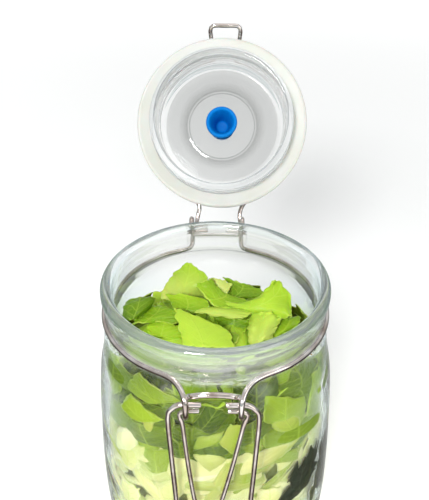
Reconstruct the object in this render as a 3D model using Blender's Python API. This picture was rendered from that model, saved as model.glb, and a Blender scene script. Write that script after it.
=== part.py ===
"""Clip-top fermentation jar with its lid standing open, filled with cut cabbage.

Sizes are in millimetres and the meshes are made in metres. The origin is the centre of the jar's base,
+Z is up and the clasp faces -Y. Heights called "drop" are counted down from the top of the rim.
"""

import math
import random

import bmesh
import bpy
from mathutils import Matrix, Vector, noise

MM = 0.001

# jar
JAR_HEIGHT = 168.0
RIM_RADIUS = 52.5
LIP_RADIUS = 2.55
GROOVE_DROP = 15.8
GROOVE_FLOOR = 50.2
NECK_RADIUS = 51.5
BEAD_RADIUS = 52.7
WALL = 3.6
MOUTH_RADIUS = RIM_RADIUS - 2 * LIP_RADIUS
BASE_RADIUS = 49.0
BASE_THICKNESS = 4.2
BODY_STATIONS = (
    (52.9, 27.0), (54.2, 35.5), (56.3, 45.0), (58.1, 60.0), (59.4, 77.0),
    (60.9, 101.0), (61.6, 126.0), (61.0, 148.0),
)
JAR_STEPS = 36

# wires
COLLAR_RADIUS = 51.85
COLLAR_WIRE = 1.25
LID_WIRE = 1.2
LEVER_WIRE = 1.2
LINK_WIRE = 1.1
HARDWARE_TURN = -0.85
FRONT_EYE_X = 11.0
FRONT_EYE_Y = -56.5
FRONT_EYE_HALF = 2.7
LEVER_DROP = 23.2
LINK_DROP = 26.6
LEVER_HALF_WIDTH = 18.3
LEVER_BOTTOM_HALF = 15.9
LEVER_BOTTOM_DROP = 96.0
LINK_SKEW = -2.4
LINK_BOTTOM_DROP = 88.0

# hinge and lid
HINGE_Y = 59.5
HINGE_DROP = 8.2
HINGE_X = 0.88
BACK_EYE_X = 13.9
BACK_EYE_HALF = 3.1
LID_TURN = -2.3
LID_OPENING = 122.2
LID_SHIFT = -0.35
GASKET_OUTER = 48.35
GASKET_INNER = 40.6
GASKET_LOW = 0.3
GASKET_HIGH = 3.3
PLUG_RADIUS = 40.3
PLUG_DEPTH = 9.8
PLUG_WALL = 4.7
FLANGE_RADIUS = 48.1
FLANGE_LOW = 3.6
FLANGE_HIGH = 8.5
DOME_RADIUS = 41.8
DOME_HIGH = 14.2
CEILING = 9.3
PLATE_RADIUS = 20.6
PLATE_HIGH = 10.0
VALVE_HOLE = 7.6
VALVE_MOUTH = -1.4
RING_RADIUS = 43.4
RING_HIGH = 10.0
CATCH_HALF_WIDTH = 8.65
CATCH_SHIFT = 0.6
CATCH_REACH = 56.3
CATCH_HIGH = 4.1
LID_STEPS = 36

# contents
GAP = 0.45
LAYER_DROP = 56.0
LEAF_CORE_CLEARANCE = 6.5
SHRED_CORE_CLEARANCE = 5.2
CORE_STEPS = 18
LEAF_SEED = 21
SHRED_SEED = 8
DARK_SEED = 5


def clear_scene():
    for item in list(bpy.data.objects):
        bpy.data.objects.remove(item, do_unlink=True)


def make_material(name, color, roughness, metallic=0.0, alpha=1.0):
    material = bpy.data.materials.new(name)
    material.use_nodes = True
    shader = material.node_tree.nodes["Principled BSDF"]
    shader.inputs["Base Color"].default_value = (*color, 1.0)
    shader.inputs["Roughness"].default_value = roughness
    shader.inputs["Metallic"].default_value = metallic
    shader.inputs["Alpha"].default_value = alpha
    material.diffuse_color = (*color, alpha)
    return material


def add_object(name, data, material, matrix=None):
    """Puts a mesh or curve in the scene under its node name."""
    item = bpy.data.objects.new(name, data)
    bpy.context.scene.collection.objects.link(item)
    data.materials.append(material)
    if matrix is not None:
        item.matrix_world = matrix
    return item


def to_mesh(name, bm, smooth_angle=None):
    """Turns millimetre bmesh work into a mesh in metres."""
    bmesh.ops.scale(bm, vec=(MM, MM, MM), verts=bm.verts)
    bmesh.ops.recalc_face_normals(bm, faces=bm.faces)
    mesh = bpy.data.meshes.new(name)
    bm.to_mesh(mesh)
    bm.free()
    if smooth_angle is not None:
        mesh.shade_smooth()
        mesh.set_sharp_from_angle(angle=math.radians(smooth_angle))
    return mesh


def arc(center_r, center_z, radius, start, end, steps):
    """Points of an arc in the (r, z) plane, angles in degrees from +r towards +z."""
    points = []
    for i in range(steps + 1):
        angle = math.radians(start + (end - start) * i / steps)
        points.append((center_r + radius * math.cos(angle), center_z + radius * math.sin(angle)))
    return points


def turned(name, outline, steps):
    """Spins a closed (r, z) outline round Z. Points at r = 0 become poles."""
    bm = bmesh.new()
    ring = [bm.verts.new((r, 0.0, z)) for r, z in outline]
    edges = [bm.edges.new((a, b)) for a, b in zip(ring, ring[1:])]
    if outline[0][0] > 0 or outline[-1][0] > 0:
        edges.append(bm.edges.new((ring[-1], ring[0])))
    bmesh.ops.spin(
        bm, geom=ring + edges, cent=(0, 0, 0), axis=(0, 0, 1), angle=2 * math.pi, steps=steps, use_merge=True
    )
    bmesh.ops.remove_doubles(bm, verts=bm.verts, dist=0.001)
    return to_mesh(name, bm, 32)


def smooth_path(points, spacing, closed=False):
    """A Catmull-Rom curve through the points, read about every `spacing` millimetres."""
    points = [Vector(p) for p in points]
    count = len(points)
    path = []
    for i in range(count if closed else count - 1):
        if closed:
            p0, p1, p2, p3 = (points[(i + k) % count] for k in (-1, 0, 1, 2))
        else:
            p1, p2 = points[i], points[i + 1]
            p0 = points[i - 1] if i else p1 * 2 - p2
            p3 = points[i + 2] if i + 2 < count else p2 * 2 - p1
        steps = max(1, round((p2 - p1).length / spacing))
        for k in range(steps):
            t = k / steps
            path.append(
                0.5 * ((2 * p1) + (p2 - p0) * t + (2 * p0 - 5 * p1 + 4 * p2 - p3) * t * t
                       + (3 * p1 - p0 - 3 * p2 + p3) * t * t * t)
            )
    if not closed:
        path.append(points[-1])
    return path


def wire_curve(name, path, radius, closed=False, sides=6):
    """A round wire along the path."""
    curve = bpy.data.curves.new(name, "CURVE")
    curve.dimensions = "3D"
    curve.bevel_depth = radius * MM
    curve.bevel_resolution = (sides - 4) // 2
    curve.use_fill_caps = True
    spline = curve.splines.new("POLY")
    spline.points.add(len(path) - 1)
    for point, place in zip(spline.points, path):
        point.co = (place[0] * MM, place[1] * MM, place[2] * MM, 1.0)
    spline.use_cyclic_u = closed
    return curve


def mirrored(points):
    """The points with x turned round, in reverse order."""
    return [(-x, y, z) for x, y, z in reversed(points)]


def body_radius(drop):
    """Outer radius of the jar's body at a drop below the rim."""
    stations = ((BEAD_RADIUS, 21.5),) + BODY_STATIONS
    if drop <= stations[0][1]:
        return stations[0][0]
    for (r1, d1), (r2, d2) in zip(stations, stations[1:]):
        if drop <= d2:
            t = (drop - d1) / (d2 - d1)
            return r1 + (r2 - r1) * t
    return stations[-1][0]


def inner_radius(drop):
    """Inner radius of the jar: the straight mouth, then the body less its wall."""
    if drop < 18.0:
        return MOUTH_RADIUS
    if drop > 148.0:
        t = min(1.0, (drop - 148.0) / 14.0)
        return (BODY_STATIONS[-1][0] - WALL) - 9.5 * (1 - math.sqrt(max(0.0, 1 - t * t)))
    return max(MOUTH_RADIUS, body_radius(drop) - WALL - 1.4 * max(0.0, 1 - (drop - 18.0) / 20.0))


def jar_outline():
    top = JAR_HEIGHT
    outline = arc(RIM_RADIUS - LIP_RADIUS, top - LIP_RADIUS, LIP_RADIUS, 180, 0, 6)
    outline += [(RIM_RADIUS, top - 4.9), (NECK_RADIUS, top - 6.0), (NECK_RADIUS, top - GROOVE_DROP + 2.3)]
    outline += [(GROOVE_FLOOR + 0.25, top - GROOVE_DROP + 1.2), (GROOVE_FLOOR, top - GROOVE_DROP)]
    outline += [(GROOVE_FLOOR + 0.25, top - GROOVE_DROP - 1.2), (NECK_RADIUS, top - GROOVE_DROP - 2.3)]
    outline += [(BEAD_RADIUS, top - 20.0), (BEAD_RADIUS, top - 21.5)]
    outline += [(r, top - drop) for r, drop in BODY_STATIONS]
    outline += arc(BASE_RADIUS, 12.0, 12.0, 0, -90, 4)
    outline += [(0.0, 0.0), (0.0, BASE_THICKNESS)]
    outline += [(inner_radius(162.0) - 6.0, BASE_THICKNESS + 0.3)]
    for drop in (160.0, 152.0, 138.0, 101.0, 77.0, 55.0, 42.0, 30.0, 18.0):
        outline.append((inner_radius(drop), top - drop))
    return outline


def make_jar(material):
    outline = jar_outline()
    middle = outline.index((0.0, 0.0)) + 1
    loop = outline[middle:] + outline[:middle]
    return add_object("jar_glass", turned("jar_glass", loop, JAR_STEPS), material)


def front_eye_path():
    """Half of the collar wire at the clasp, from the arch's middle to the groove, x > 0."""
    y, half, top = FRONT_EYE_Y, FRONT_EYE_HALF, JAR_HEIGHT
    x = FRONT_EYE_X
    path = [(0.0, -54.9, top - 19.4), (5.0, -54.8, top - 19.7), (8.5, -54.4, top - 20.7)]
    path += [(x - 0.5, y + half + 0.1, top - 21.9), (x, y + half, top - 24.2)]
    bottom = top - LINK_DROP + 0.1
    for i in range(5):
        angle = math.pi * i / 4
        path.append((x, y + half * math.cos(angle), bottom - half * math.sin(angle)))
    path += [(x, y - half, top - 22.6), (x + 0.3, y - half + 1.2, top - 19.5)]
    path += [(x + 1.9, y + 2.0, top - 17.3), (x + 4.8, -50.9, top - 16.1)]
    return path


def back_eye_path():
    """Half of the collar wire at the hinge, from the groove to the bar's middle, x > 0."""
    y, half, top = HINGE_Y, BACK_EYE_HALF, JAR_HEIGHT
    x = BACK_EYE_X
    path = [(x + 0.8, 51.6, top - 15.6), (x, 55.4, top - 14.4), (x, y + half - 0.9, top - 12.0)]
    crown = top - HINGE_DROP + 1.2
    for i in range(5):
        angle = math.pi * i / 4
        path.append((x, y + half * math.cos(angle), crown + half * math.sin(angle)))
    path += [(x - 0.1, y - half + 0.1, top - 8.9), (x - 1.4, y - half + 0.4, top - 10.4)]
    path += [(x - 4.6, y - half + 0.5, top - 10.6), (0.0, y - half + 0.6, top - 10.6)]
    return path


def collar_arc():
    """The stretch of the collar wire that lies in the neck groove, front to back, x > 0."""
    start = -math.acos(20.0 / COLLAR_RADIUS)
    end = math.acos(17.0 / COLLAR_RADIUS)
    points = []
    steps = 9
    for i in range(steps + 1):
        angle = start + (end - start) * i / steps
        points.append(
            (COLLAR_RADIUS * math.cos(angle), COLLAR_RADIUS * math.sin(angle), JAR_HEIGHT - GROOVE_DROP)
        )
    return points


def make_collar(material):
    half = front_eye_path() + collar_arc() + back_eye_path()
    loop = half + mirrored(half)[1:-1]
    path = smooth_path(loop, 4.8, closed=True)
    curve = wire_curve("collar_wire", path, COLLAR_WIRE, closed=True)
    return add_object("collar_wire", curve, material, Matrix.Rotation(math.radians(HARDWARE_TURN), 4, "Z"))


def make_swing_wire(name, half, drop, radius, spacing, skew, material):
    """A U-shaped loop that hangs in the clasp's eyes. Its origin is on its own swing axis."""
    axis = Vector((0.0, FRONT_EYE_Y, JAR_HEIGHT - drop))
    other = [(-x + 2 * skew(z), y, z) for x, y, z in reversed(half)]
    points = half + other[1:]
    path = [p - axis for p in smooth_path(points, spacing)]
    turn = Matrix.Rotation(math.radians(HARDWARE_TURN), 4, "Z")
    return add_object(name, wire_curve(name, path, radius), material, turn @ Matrix.Translation(axis * MM))


def make_lever(material):
    """The outer loop: stubs through the eyes, rounded shoulders, long legs and a wide bottom bend."""
    top, y = JAR_HEIGHT, FRONT_EYE_Y
    wide, low = LEVER_HALF_WIDTH, LEVER_BOTTOM_HALF
    half = [(4.8, y, top - LEVER_DROP), (9.5, y, top - LEVER_DROP), (wide - 4.6, y, top - LEVER_DROP - 0.1)]
    half += [(wide - 1.7, y - 0.15, top - LEVER_DROP - 2.3), (wide, y - 0.45, top - LEVER_DROP - 6.8)]
    half += [(wide - 0.6, y - 2.2, top - 48.0), (low + 0.6, y - 4.3, top - 74.0), (low, y - 5.2, top - 84.0)]
    half += [(low - 2.3, y - 5.6, top - 91.5), (low - 8.0, y - 5.9, top - 95.4)]
    half += [(0.0, y - 6.0, top - LEVER_BOTTOM_DROP)]
    return make_swing_wire("clasp_lever", half, LEVER_DROP, LEVER_WIRE, 5.0, lambda z: 0.0, material)


def make_link(material):
    """The inner loop: a V that hangs a little to one side."""
    top, y = JAR_HEIGHT, FRONT_EYE_Y
    half = [(5.6, y, top - LINK_DROP), (9.0, y, top - LINK_DROP), (12.0, y, top - LINK_DROP - 0.1)]
    half += [(13.5, y - 0.05, top - LINK_DROP - 1.4), (13.5, y - 0.2, top - LINK_DROP - 4.1)]
    half += [(12.4, y - 0.6, top - 34.0), (9.5, y - 2.5, top - 56.0), (6.0, y - 4.4, top - 78.0)]
    half += [(4.2, y - 4.9, top - 84.6), (0.0, y - 5.2, top - LINK_BOTTOM_DROP)]

    def skew(z):
        return LINK_SKEW * min(1.0, max(0.0, (top - LINK_DROP - 4.0 - z) / 50.0))

    half = [(x + skew(z), py, z) for x, py, z in half]
    return make_swing_wire("clasp_link", half, LINK_DROP, LINK_WIRE, 5.0, skew, material)


def lid_frame():
    """The hinge axis: its place, and its direction as the X axis of a frame turned round Z."""
    place = Matrix.Translation(Vector((HINGE_X, HINGE_Y, JAR_HEIGHT - HINGE_DROP)) * MM)
    return place @ Matrix.Rotation(math.radians(LID_TURN), 4, "Z")


def make_lid_hinge():
    """An empty on the hinge axis that carries the lid, swung open from its shut place."""
    hinge = bpy.data.objects.new("lid_hinge", None)
    bpy.context.scene.collection.objects.link(hinge)
    hinge.matrix_world = lid_frame() @ Matrix.Rotation(math.radians(-LID_OPENING), 4, "X")
    return hinge


def lid_center():
    """The middle of the shut mouth in the hinge's frame."""
    return (lid_frame().inverted() @ Vector((0.0, 0.0, JAR_HEIGHT * MM))) / MM


def lid_axis():
    """The glass lid's axis, which sits a little to one side in its wire."""
    return lid_center() + Vector((LID_SHIFT, 0.0, 0.0))


def hang_on(hinge, item, place=(0.0, 0.0, 0.0)):
    item.parent = hinge
    item.location = Vector(place) * MM


def lid_outline():
    """Section of the glass lid: plug ring below, flange, and a hollow dome with a thinner round plate."""
    inner = PLUG_RADIUS - PLUG_WALL
    outline = [(VALVE_HOLE, PLATE_HIGH), (PLATE_RADIUS - 1.3, PLATE_HIGH), (PLATE_RADIUS, CEILING)]
    outline += [(inner - 3.6, CEILING), (inner - 1.2, CEILING - 1.3), (inner - 0.3, CEILING - 4.6)]
    outline += [(inner, -PLUG_DEPTH + 2.4)]
    outline += arc(inner + PLUG_WALL / 2, -PLUG_DEPTH + PLUG_WALL / 2, PLUG_WALL / 2, 180, 360, 5)[1:]
    outline += [(PLUG_RADIUS, FLANGE_LOW), (FLANGE_RADIUS - 0.8, FLANGE_LOW)]
    outline += [(FLANGE_RADIUS, FLANGE_LOW + 0.8), (FLANGE_RADIUS, FLANGE_HIGH - 0.9)]
    outline += [(FLANGE_RADIUS - 0.9, FLANGE_HIGH), (DOME_RADIUS, FLANGE_HIGH)]
    outline += [(DOME_RADIUS - 0.2, DOME_HIGH - 2.4), (DOME_RADIUS - 1.4, DOME_HIGH - 0.7)]
    outline += [(DOME_RADIUS - 3.8, DOME_HIGH), (VALVE_HOLE, DOME_HIGH)]
    return outline


def make_lid_glass(hinge, material):
    item = add_object("lid_glass", turned("lid_glass", lid_outline(), LID_STEPS), material)
    hang_on(hinge, item, lid_axis())


def make_gasket(hinge, material):
    """Flat ring between plug and flange, with a raised bead near its outer edge."""
    outer, inner = GASKET_OUTER, GASKET_INNER
    low, high = GASKET_LOW, GASKET_HIGH
    outline = [(inner, low + 0.5), (inner + 0.5, low), (outer - 2.2, low), (outer - 1.6, low - 0.2)]
    outline += [(outer - 0.5, low - 0.1), (outer, low + 0.6), (outer, high - 0.5)]
    outline += [(outer - 0.5, high), (inner, high)]
    item = add_object("gasket", turned("gasket", outline, LID_STEPS), material)
    hang_on(hinge, item, lid_axis())


def make_valve(hinge, material):
    """Silicone valve: an open cup that hangs under the lid, a neck through it and a flange on top."""
    low, hole, high = VALVE_MOUTH, VALVE_HOLE, DOME_HIGH
    outline = [(0.0, 12.7), (3.3, 12.5), (3.8, 11.7), (6.6, low + 1.5), (7.1, low + 0.3), (8.0, low)]
    outline += [(8.8, low + 0.6), (8.9, low + 1.8), (8.3, 3.6), (8.3, PLATE_HIGH - 0.3)]
    outline += [(hole - 0.3, PLATE_HIGH - 0.3), (hole - 0.3, high + 0.3)]
    outline += [(9.0, high + 0.3), (8.8, high + 1.5), (6.6, high + 2.2), (0.0, high + 2.4)]
    item = add_object("valve", turned("valve", outline, 16), material)
    hang_on(hinge, item, lid_axis())


def lid_wire_half(center, side):
    """Half of the lid's wire, from its stub in the hinge eye round the dome to the catch."""
    lift = HINGE_DROP + RING_HIGH

    def at(x, y, high):
        return (center[0] + side * x, center[1] + y, HINGE_DROP + high)

    points = [(side * 5.2, 0.0, 0.0), (side * 9.6, 0.0, 0.0), (side * 14.4, 0.0, 0.1)]
    points += [(side * 16.3, -0.1, 1.4), (side * 16.65, -0.2, 4.4), (side * 16.0 + 0.1, -0.4, 8.2)]
    points += [(side * 13.5 + 0.3, -0.8, 12.2), (side * 12.7 + 0.4, -1.5, 15.4)]
    points += [(side * 12.6 + 0.4, -4.0, lift - 0.2), (side * 12.1 + 0.5, -7.6, lift)]
    points += [(side * 12.6 + 1.4, -12.8, lift + 0.3), at(17.2, 41.0, RING_HIGH)]
    steps = 7
    first = math.acos(24.0 / RING_RADIUS)
    for i in range(steps + 1):
        angle = first - 2 * first * i / steps
        points.append(at(RING_RADIUS * math.cos(angle), RING_RADIUS * math.sin(angle), RING_HIGH))
    points += [at(15.6, -41.0, RING_HIGH), at(10.3, -44.4, RING_HIGH + 0.2)]
    wide, aside = CATCH_HALF_WIDTH, side * CATCH_SHIFT
    points += [at(wide - 0.5 + aside, -48.6, RING_HIGH + 0.3), at(wide - 0.2 + aside, -52.0, RING_HIGH - 1.7)]
    points += [at(wide + aside, 1.9 - CATCH_REACH, CATCH_HIGH + 1.6)]
    points += [at(wide - 1.6 + aside, -CATCH_REACH, CATCH_HIGH), at(aside, -CATCH_REACH - 0.2, CATCH_HIGH)]
    return points


def make_lid_wire(hinge, material):
    center = lid_center()
    left = lid_wire_half(center, -1)
    right = lid_wire_half(center, 1)
    points = left + list(reversed(right[:-1]))
    path = smooth_path(points, 4.6)
    item = add_object("lid_wire", wire_curve("lid_wire", path, LID_WIRE), material)
    hang_on(hinge, item)


def heap_core(name, top_height, bottom, steps, rows, clearance):
    """A bumpy plug of packed leaves that follows the jar's inside."""
    bm = bmesh.new()
    rings = []
    for row in range(rows + 1):
        ring = []
        for step in range(steps):
            angle = 2 * math.pi * step / steps
            high = top_height(angle, 1.0)
            z = bottom + (high - bottom) * row / rows
            bump = 1.6 * noise.noise(Vector((3 * math.cos(angle), 3 * math.sin(angle), z * 0.06)))
            radius = inner_radius(JAR_HEIGHT - z) - clearance + bump
            ring.append(bm.verts.new((radius * math.cos(angle), radius * math.sin(angle), z)))
        rings.append(ring)
    for share in (0.72, 0.42, 0.16):
        ring = []
        for step in range(steps):
            angle = 2 * math.pi * step / steps
            edge = rings[rows][step].co
            ring.append(bm.verts.new((edge.x * share, edge.y * share, top_height(angle, share))))
        rings.append(ring)
    for low, high in zip(rings, rings[1:]):
        for step in range(steps):
            after = (step + 1) % steps
            bm.faces.new((low[step], low[after], high[after], high[step]))
    bm.faces.new(rings[-1])
    bm.faces.new(list(reversed(rings[0])))
    bmesh.ops.triangulate(bm, faces=bm.faces)
    return to_mesh(name, bm)


def thin_sheet(name, surface, columns, rows, thickness):
    """A closed thin solid over a grid of surface(u, v) points, both faces split along the same diagonals."""
    bm = bmesh.new()
    middle = [[Vector(surface(c / columns, r / rows)) for c in range(columns + 1)] for r in range(rows + 1)]

    def normal(r, c):
        across = middle[r][min(c + 1, columns)] - middle[r][max(c - 1, 0)]
        along = middle[min(r + 1, rows)][c] - middle[max(r - 1, 0)][c]
        return across.cross(along).normalized()

    faces = []
    for sign in (-0.5, 0.5):
        faces.append([
            [bm.verts.new(middle[r][c] + normal(r, c) * sign * thickness) for c in range(columns + 1)]
            for r in range(rows + 1)
        ])
    under, over = faces
    for r in range(rows):
        for c in range(columns):
            for grid in (under, over):
                a, b, d, e = grid[r][c], grid[r][c + 1], grid[r + 1][c + 1], grid[r + 1][c]
                bm.faces.new((a, b, d))
                bm.faces.new((a, d, e))
    border = [(0, c) for c in range(columns)] + [(r, columns) for r in range(rows)]
    border += [(rows, columns - c) for c in range(columns)] + [(rows - r, 0) for r in range(rows)]
    for (r1, c1), (r2, c2) in zip(border, border[1:] + border[:1]):
        a, b = under[r1][c1], under[r2][c2]
        d, e = over[r2][c2], over[r1][c1]
        bm.faces.new((a, b, d))
        bm.faces.new((a, d, e))
    return to_mesh(name, bm)


def leaf_surface(place, yaw, pitch, roll, width, length, curl, ripple, rng):
    """A cut leaf: a ragged sheet, curled across its rib and rippled along its edges."""
    turn = Matrix.Rotation(math.radians(yaw), 3, "Z") @ Matrix.Rotation(math.radians(pitch), 3, "X")
    turn = turn @ Matrix.Rotation(math.radians(roll), 3, "Y")
    phase = [rng.uniform(0, 2 * math.pi) for _ in range(4)]
    ragged = [rng.uniform(0.78, 1.12) for _ in range(12)]

    def surface(u, v):
        s, t = u * 2 - 1, v * 2 - 1
        swell = 0.62 + 0.38 * math.sin(math.pi * (0.12 + 0.76 * v))
        side = ragged[int(v * 5.99)] if s < 0 else ragged[6 + int(v * 5.99)]
        x = s * width / 2 * swell * side
        y = t * length / 2 * (1.0 - 0.14 * s * s) + 0.06 * length * math.sin(phase[3] + 3 * s)
        angle = curl * s
        lift = 0.5 * width * curl * s * s * 0.5
        wave = ripple * (abs(s) ** 1.5) * math.sin(5.5 * t + phase[0]) + 0.5 * ripple * math.sin(4 * s + phase[1])
        wave += 0.6 * ripple * t * t * math.sin(3.5 * s + phase[2])
        z = lift + wave
        x *= math.cos(angle * 0.5)
        return Vector(place) + turn @ Vector((x, y, z))

    return surface


def side_leaf_surface(angle, drop, width, height, lean, ripple, rng):
    """A leaf pressed against the inside of the glass."""
    phase = [rng.uniform(0, 2 * math.pi) for _ in range(3)]
    cut = [rng.uniform(0.75, 1.1) for _ in range(4)]

    def surface(u, v):
        s, t = u * 2 - 1, v * 2 - 1
        round_off = 1 - 0.25 * t * t
        across = s * width / 2 * round_off * (cut[0] if s < 0 else cut[1])
        up = t * height / 2 * (1 - 0.22 * s * s) * (cut[2] if t < 0 else cut[3])
        x = across * math.cos(lean) - up * math.sin(lean)
        z = across * math.sin(lean) + up * math.cos(lean)
        down = min(159.0, max(20.0, drop - z))
        depth = 2.3 + ripple * (0.5 + 0.5 * math.sin(phase[0] + 4.2 * s + 2.1 * t))
        depth += 3.2 * (s * s + t * t) * 0.5 * (0.6 + 0.4 * math.sin(phase[1] + 2 * t))
        radius = inner_radius(down) - GAP - depth
        turn = angle + x / radius
        return (radius * math.cos(turn), radius * math.sin(turn), JAR_HEIGHT - down)

    return surface


def shred_surface(angle, drop, length, lean, width, rng):
    """A narrow shred that bends along the glass."""
    bend = rng.uniform(-0.5, 0.5)
    phase = rng.uniform(0, 2 * math.pi)

    def surface(u, v):
        s, t = u * 2 - 1, v * 2 - 1
        x = t * length / 2 * math.cos(lean) - s * width / 2 * math.sin(lean)
        z = t * length / 2 * math.sin(lean) + s * width / 2 * math.cos(lean) + bend * 6 * (1 - t * t)
        down = min(159.5, max(LAYER_DROP + 2.2, drop - z))
        radius = inner_radius(down) - GAP - 1.7 - 4.6 * t * t - 0.7 * (1 + math.sin(phase + 3 * t))
        turn = angle + x / radius
        return (radius * math.cos(turn), radius * math.sin(turn), JAR_HEIGHT - down)

    return surface


def fuse(core, pieces, name):
    """Unites the pieces with the core in one Boolean, and drops the loose pieces."""
    group = bpy.data.collections.new(name + "_pieces")
    bpy.context.scene.collection.children.link(group)
    for piece in pieces:
        bpy.context.scene.collection.objects.unlink(piece)
        group.objects.link(piece)
    union = core.modifiers.new("union", "BOOLEAN")
    union.operation = "UNION"
    union.operand_type = "COLLECTION"
    union.collection = group
    union.solver = "EXACT"
    union.use_self = False
    bpy.context.view_layer.update()
    evaluated = core.evaluated_get(bpy.context.evaluated_depsgraph_get())
    mesh = bpy.data.meshes.new_from_object(evaluated)
    core.modifiers.clear()
    old = core.data
    core.data = mesh
    bpy.data.meshes.remove(old)
    for piece in list(group.objects):
        bpy.data.objects.remove(piece, do_unlink=True)
    bpy.data.collections.remove(group)
    keep_largest(mesh)


def keep_largest(mesh):
    """Leaves only the biggest connected body of a mesh, with doubles merged."""
    bm = bmesh.new()
    bm.from_mesh(mesh)
    bmesh.ops.remove_doubles(bm, verts=bm.verts, dist=0.00002)
    bmesh.ops.triangulate(bm, faces=bm.faces)
    bodies = []
    left = set(bm.faces)
    while left:
        stack = [left.pop()]
        body = set(stack)
        while stack:
            for edge in stack.pop().edges:
                for face in edge.link_faces:
                    if face in left:
                        left.discard(face)
                        body.add(face)
                        stack.append(face)
        bodies.append(body)
    bodies.sort(key=len)
    loose = [face for body in bodies[:-1] for face in body]
    bmesh.ops.delete(bm, geom=loose, context="FACES")
    bm.to_mesh(mesh)
    bm.free()


def mound_height(angle, share):
    """Top of the leaf heap: highest in the middle, lower towards the back wall."""
    back = 0.5 + 0.5 * math.sin(angle)
    edge_drop = 34.0 + 9.0 * back
    top_drop = 24.0
    bump = 1.5 * noise.noise(Vector((2 * share * math.cos(angle), 2 * share * math.sin(angle), 4.0)))
    return JAR_HEIGHT - (top_drop + (edge_drop - top_drop) * share ** 1.6) + bump


# the leaves that lie on the heap: place, yaw, pitch, roll, width, length, curl, ripple
TOP_LEAVES = (
    ((-8.0, -17.0, 145.5), 8, -24, 10, 25, 31, 0.55, 1.2),
    ((-14.0, 8.0, 149.0), 30, 20, -14, 25, 27, 0.9, 1.6),
    ((0.0, 4.0, 148.0), -8, 34, 6, 22, 22, 0.7, 1.6),
    ((13.0, 9.0, 145.0), -24, 26, 12, 23, 25, -0.6, 2.0),
    ((26.0, 4.0, 143.5), 12, 10, 18, 17, 30, 0.8, 2.6),
    ((8.0, -8.0, 147.5), 72, 8, -8, 13, 36, 0.6, 1.2),
    ((-30.0, -2.0, 141.0), -34, 12, -20, 17, 29, 1.0, 1.6),
    ((-26.0, -20.0, 139.5), 22, -12, -22, 20, 26, 0.6, 1.6),
    ((18.0, -22.0, 141.5), -28, -16, 16, 22, 28, 0.6, 2.0),
    ((30.0, -12.0, 139.0), 40, -8, 26, 18, 24, 0.5, 1.8),
    ((2.0, 26.0, 138.0), 14, 30, 4, 24, 22, 0.5, 1.8),
    ((-20.0, 24.0, 135.5), -20, 26, -12, 21, 22, 0.6, 1.6),
    ((22.0, 25.0, 134.0), 34, 28, 12, 20, 22, 0.6, 1.6),
)
DARK_LEAVES = ((-0.72, 83.0, 15.0, 19.0, 0.25), (-0.40, 66.0, 12.0, 22.0, -0.3))


def near_dark_leaf(angle, drop):
    for where, level, width, height, _ in DARK_LEAVES:
        apart = math.remainder(angle - where, 2 * math.pi)
        if abs(apart) * 55 < width / 2 + 16 and abs(drop - level) < height / 2 + 15:
            return True
    return False


def make_leaf_heap(material):
    """The upper layer: green leaves, loose on top and pressed on the glass round the side."""
    rng = random.Random(LEAF_SEED)
    bottom = JAR_HEIGHT - LAYER_DROP
    core_mesh = heap_core("leaf_core", mound_height, bottom, CORE_STEPS, 2, LEAF_CORE_CLEARANCE)
    core = add_object("cabbage_leaves", core_mesh, material)
    pieces = []
    for place, yaw, pitch, roll, width, length, curl, ripple in TOP_LEAVES:
        surface = leaf_surface(place, yaw, pitch, roll, width, length, curl, ripple, rng)
        pieces.append(add_object("leaf", thin_sheet("leaf", surface, 4, 5, 1.5), material))
    count = 9
    for i in range(count):
        angle = 2 * math.pi * (i + 0.5 * rng.random()) / count
        drop = 41.5 + rng.uniform(-1, 1)
        surface = side_leaf_surface(angle, drop, 23, 17, rng.uniform(-0.3, 0.3), 1.6, rng)
        pieces.append(add_object("leaf", thin_sheet("leaf", surface, 3, 3, 1.4), material))
    fuse(core, pieces, "cabbage_leaves")


def make_shred_heap(material):
    """The lower layer: pale shreds and cut ribs packed to the bottom."""
    rng = random.Random(SHRED_SEED)

    def flat_top(angle, share):
        return JAR_HEIGHT - LAYER_DROP - GAP

    bottom = BASE_THICKNESS + 1.2
    core_mesh = heap_core("shred_core", flat_top, bottom, CORE_STEPS, 5, SHRED_CORE_CLEARANCE)
    core = add_object("cabbage_shreds", core_mesh, material)
    pieces = []
    levels = (66.0, 84.0, 102.0, 120.0, 138.0)
    for row, level in enumerate(levels):
        count = 4
        for i in range(count):
            angle = 2 * math.pi * (i + 0.5 * (row % 2) + 0.35 * rng.random()) / count
            drop = level + rng.uniform(-3, 3)
            lean = rng.uniform(-0.5, 0.5)
            if near_dark_leaf(angle, drop):
                continue
            surface = shred_surface(angle, drop, rng.uniform(34, 44), lean, rng.uniform(5, 9), rng)
            pieces.append(add_object("shred", thin_sheet("shred", surface, 1, 5, 1.7), material))
    fuse(core, pieces, "cabbage_shreds")


def make_dark_leaves(material):
    """Two dark leaf scraps pressed on the glass, each a piece of its own."""
    rng = random.Random(DARK_SEED)
    for number, (angle, drop, width, height, lean) in enumerate(DARK_LEAVES, 1):
        surface = side_leaf_surface(angle, drop, width, height, lean, 0.5, rng)

        def pressed(u, v, surface=surface):
            point = Vector(surface(u, v))
            flat = Vector((point.x, point.y, 0.0))
            reach = inner_radius(JAR_HEIGHT - point.z) - GAP - 1.4
            depth = max(-1.2, flat.length - reach)
            flat = flat.normalized() * (reach + 0.35 * depth)
            return (flat.x, flat.y, point.z)

        name = "dark_leaf_%d" % number
        add_object(name, thin_sheet(name, pressed, 5, 5, 1.2), material)


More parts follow.
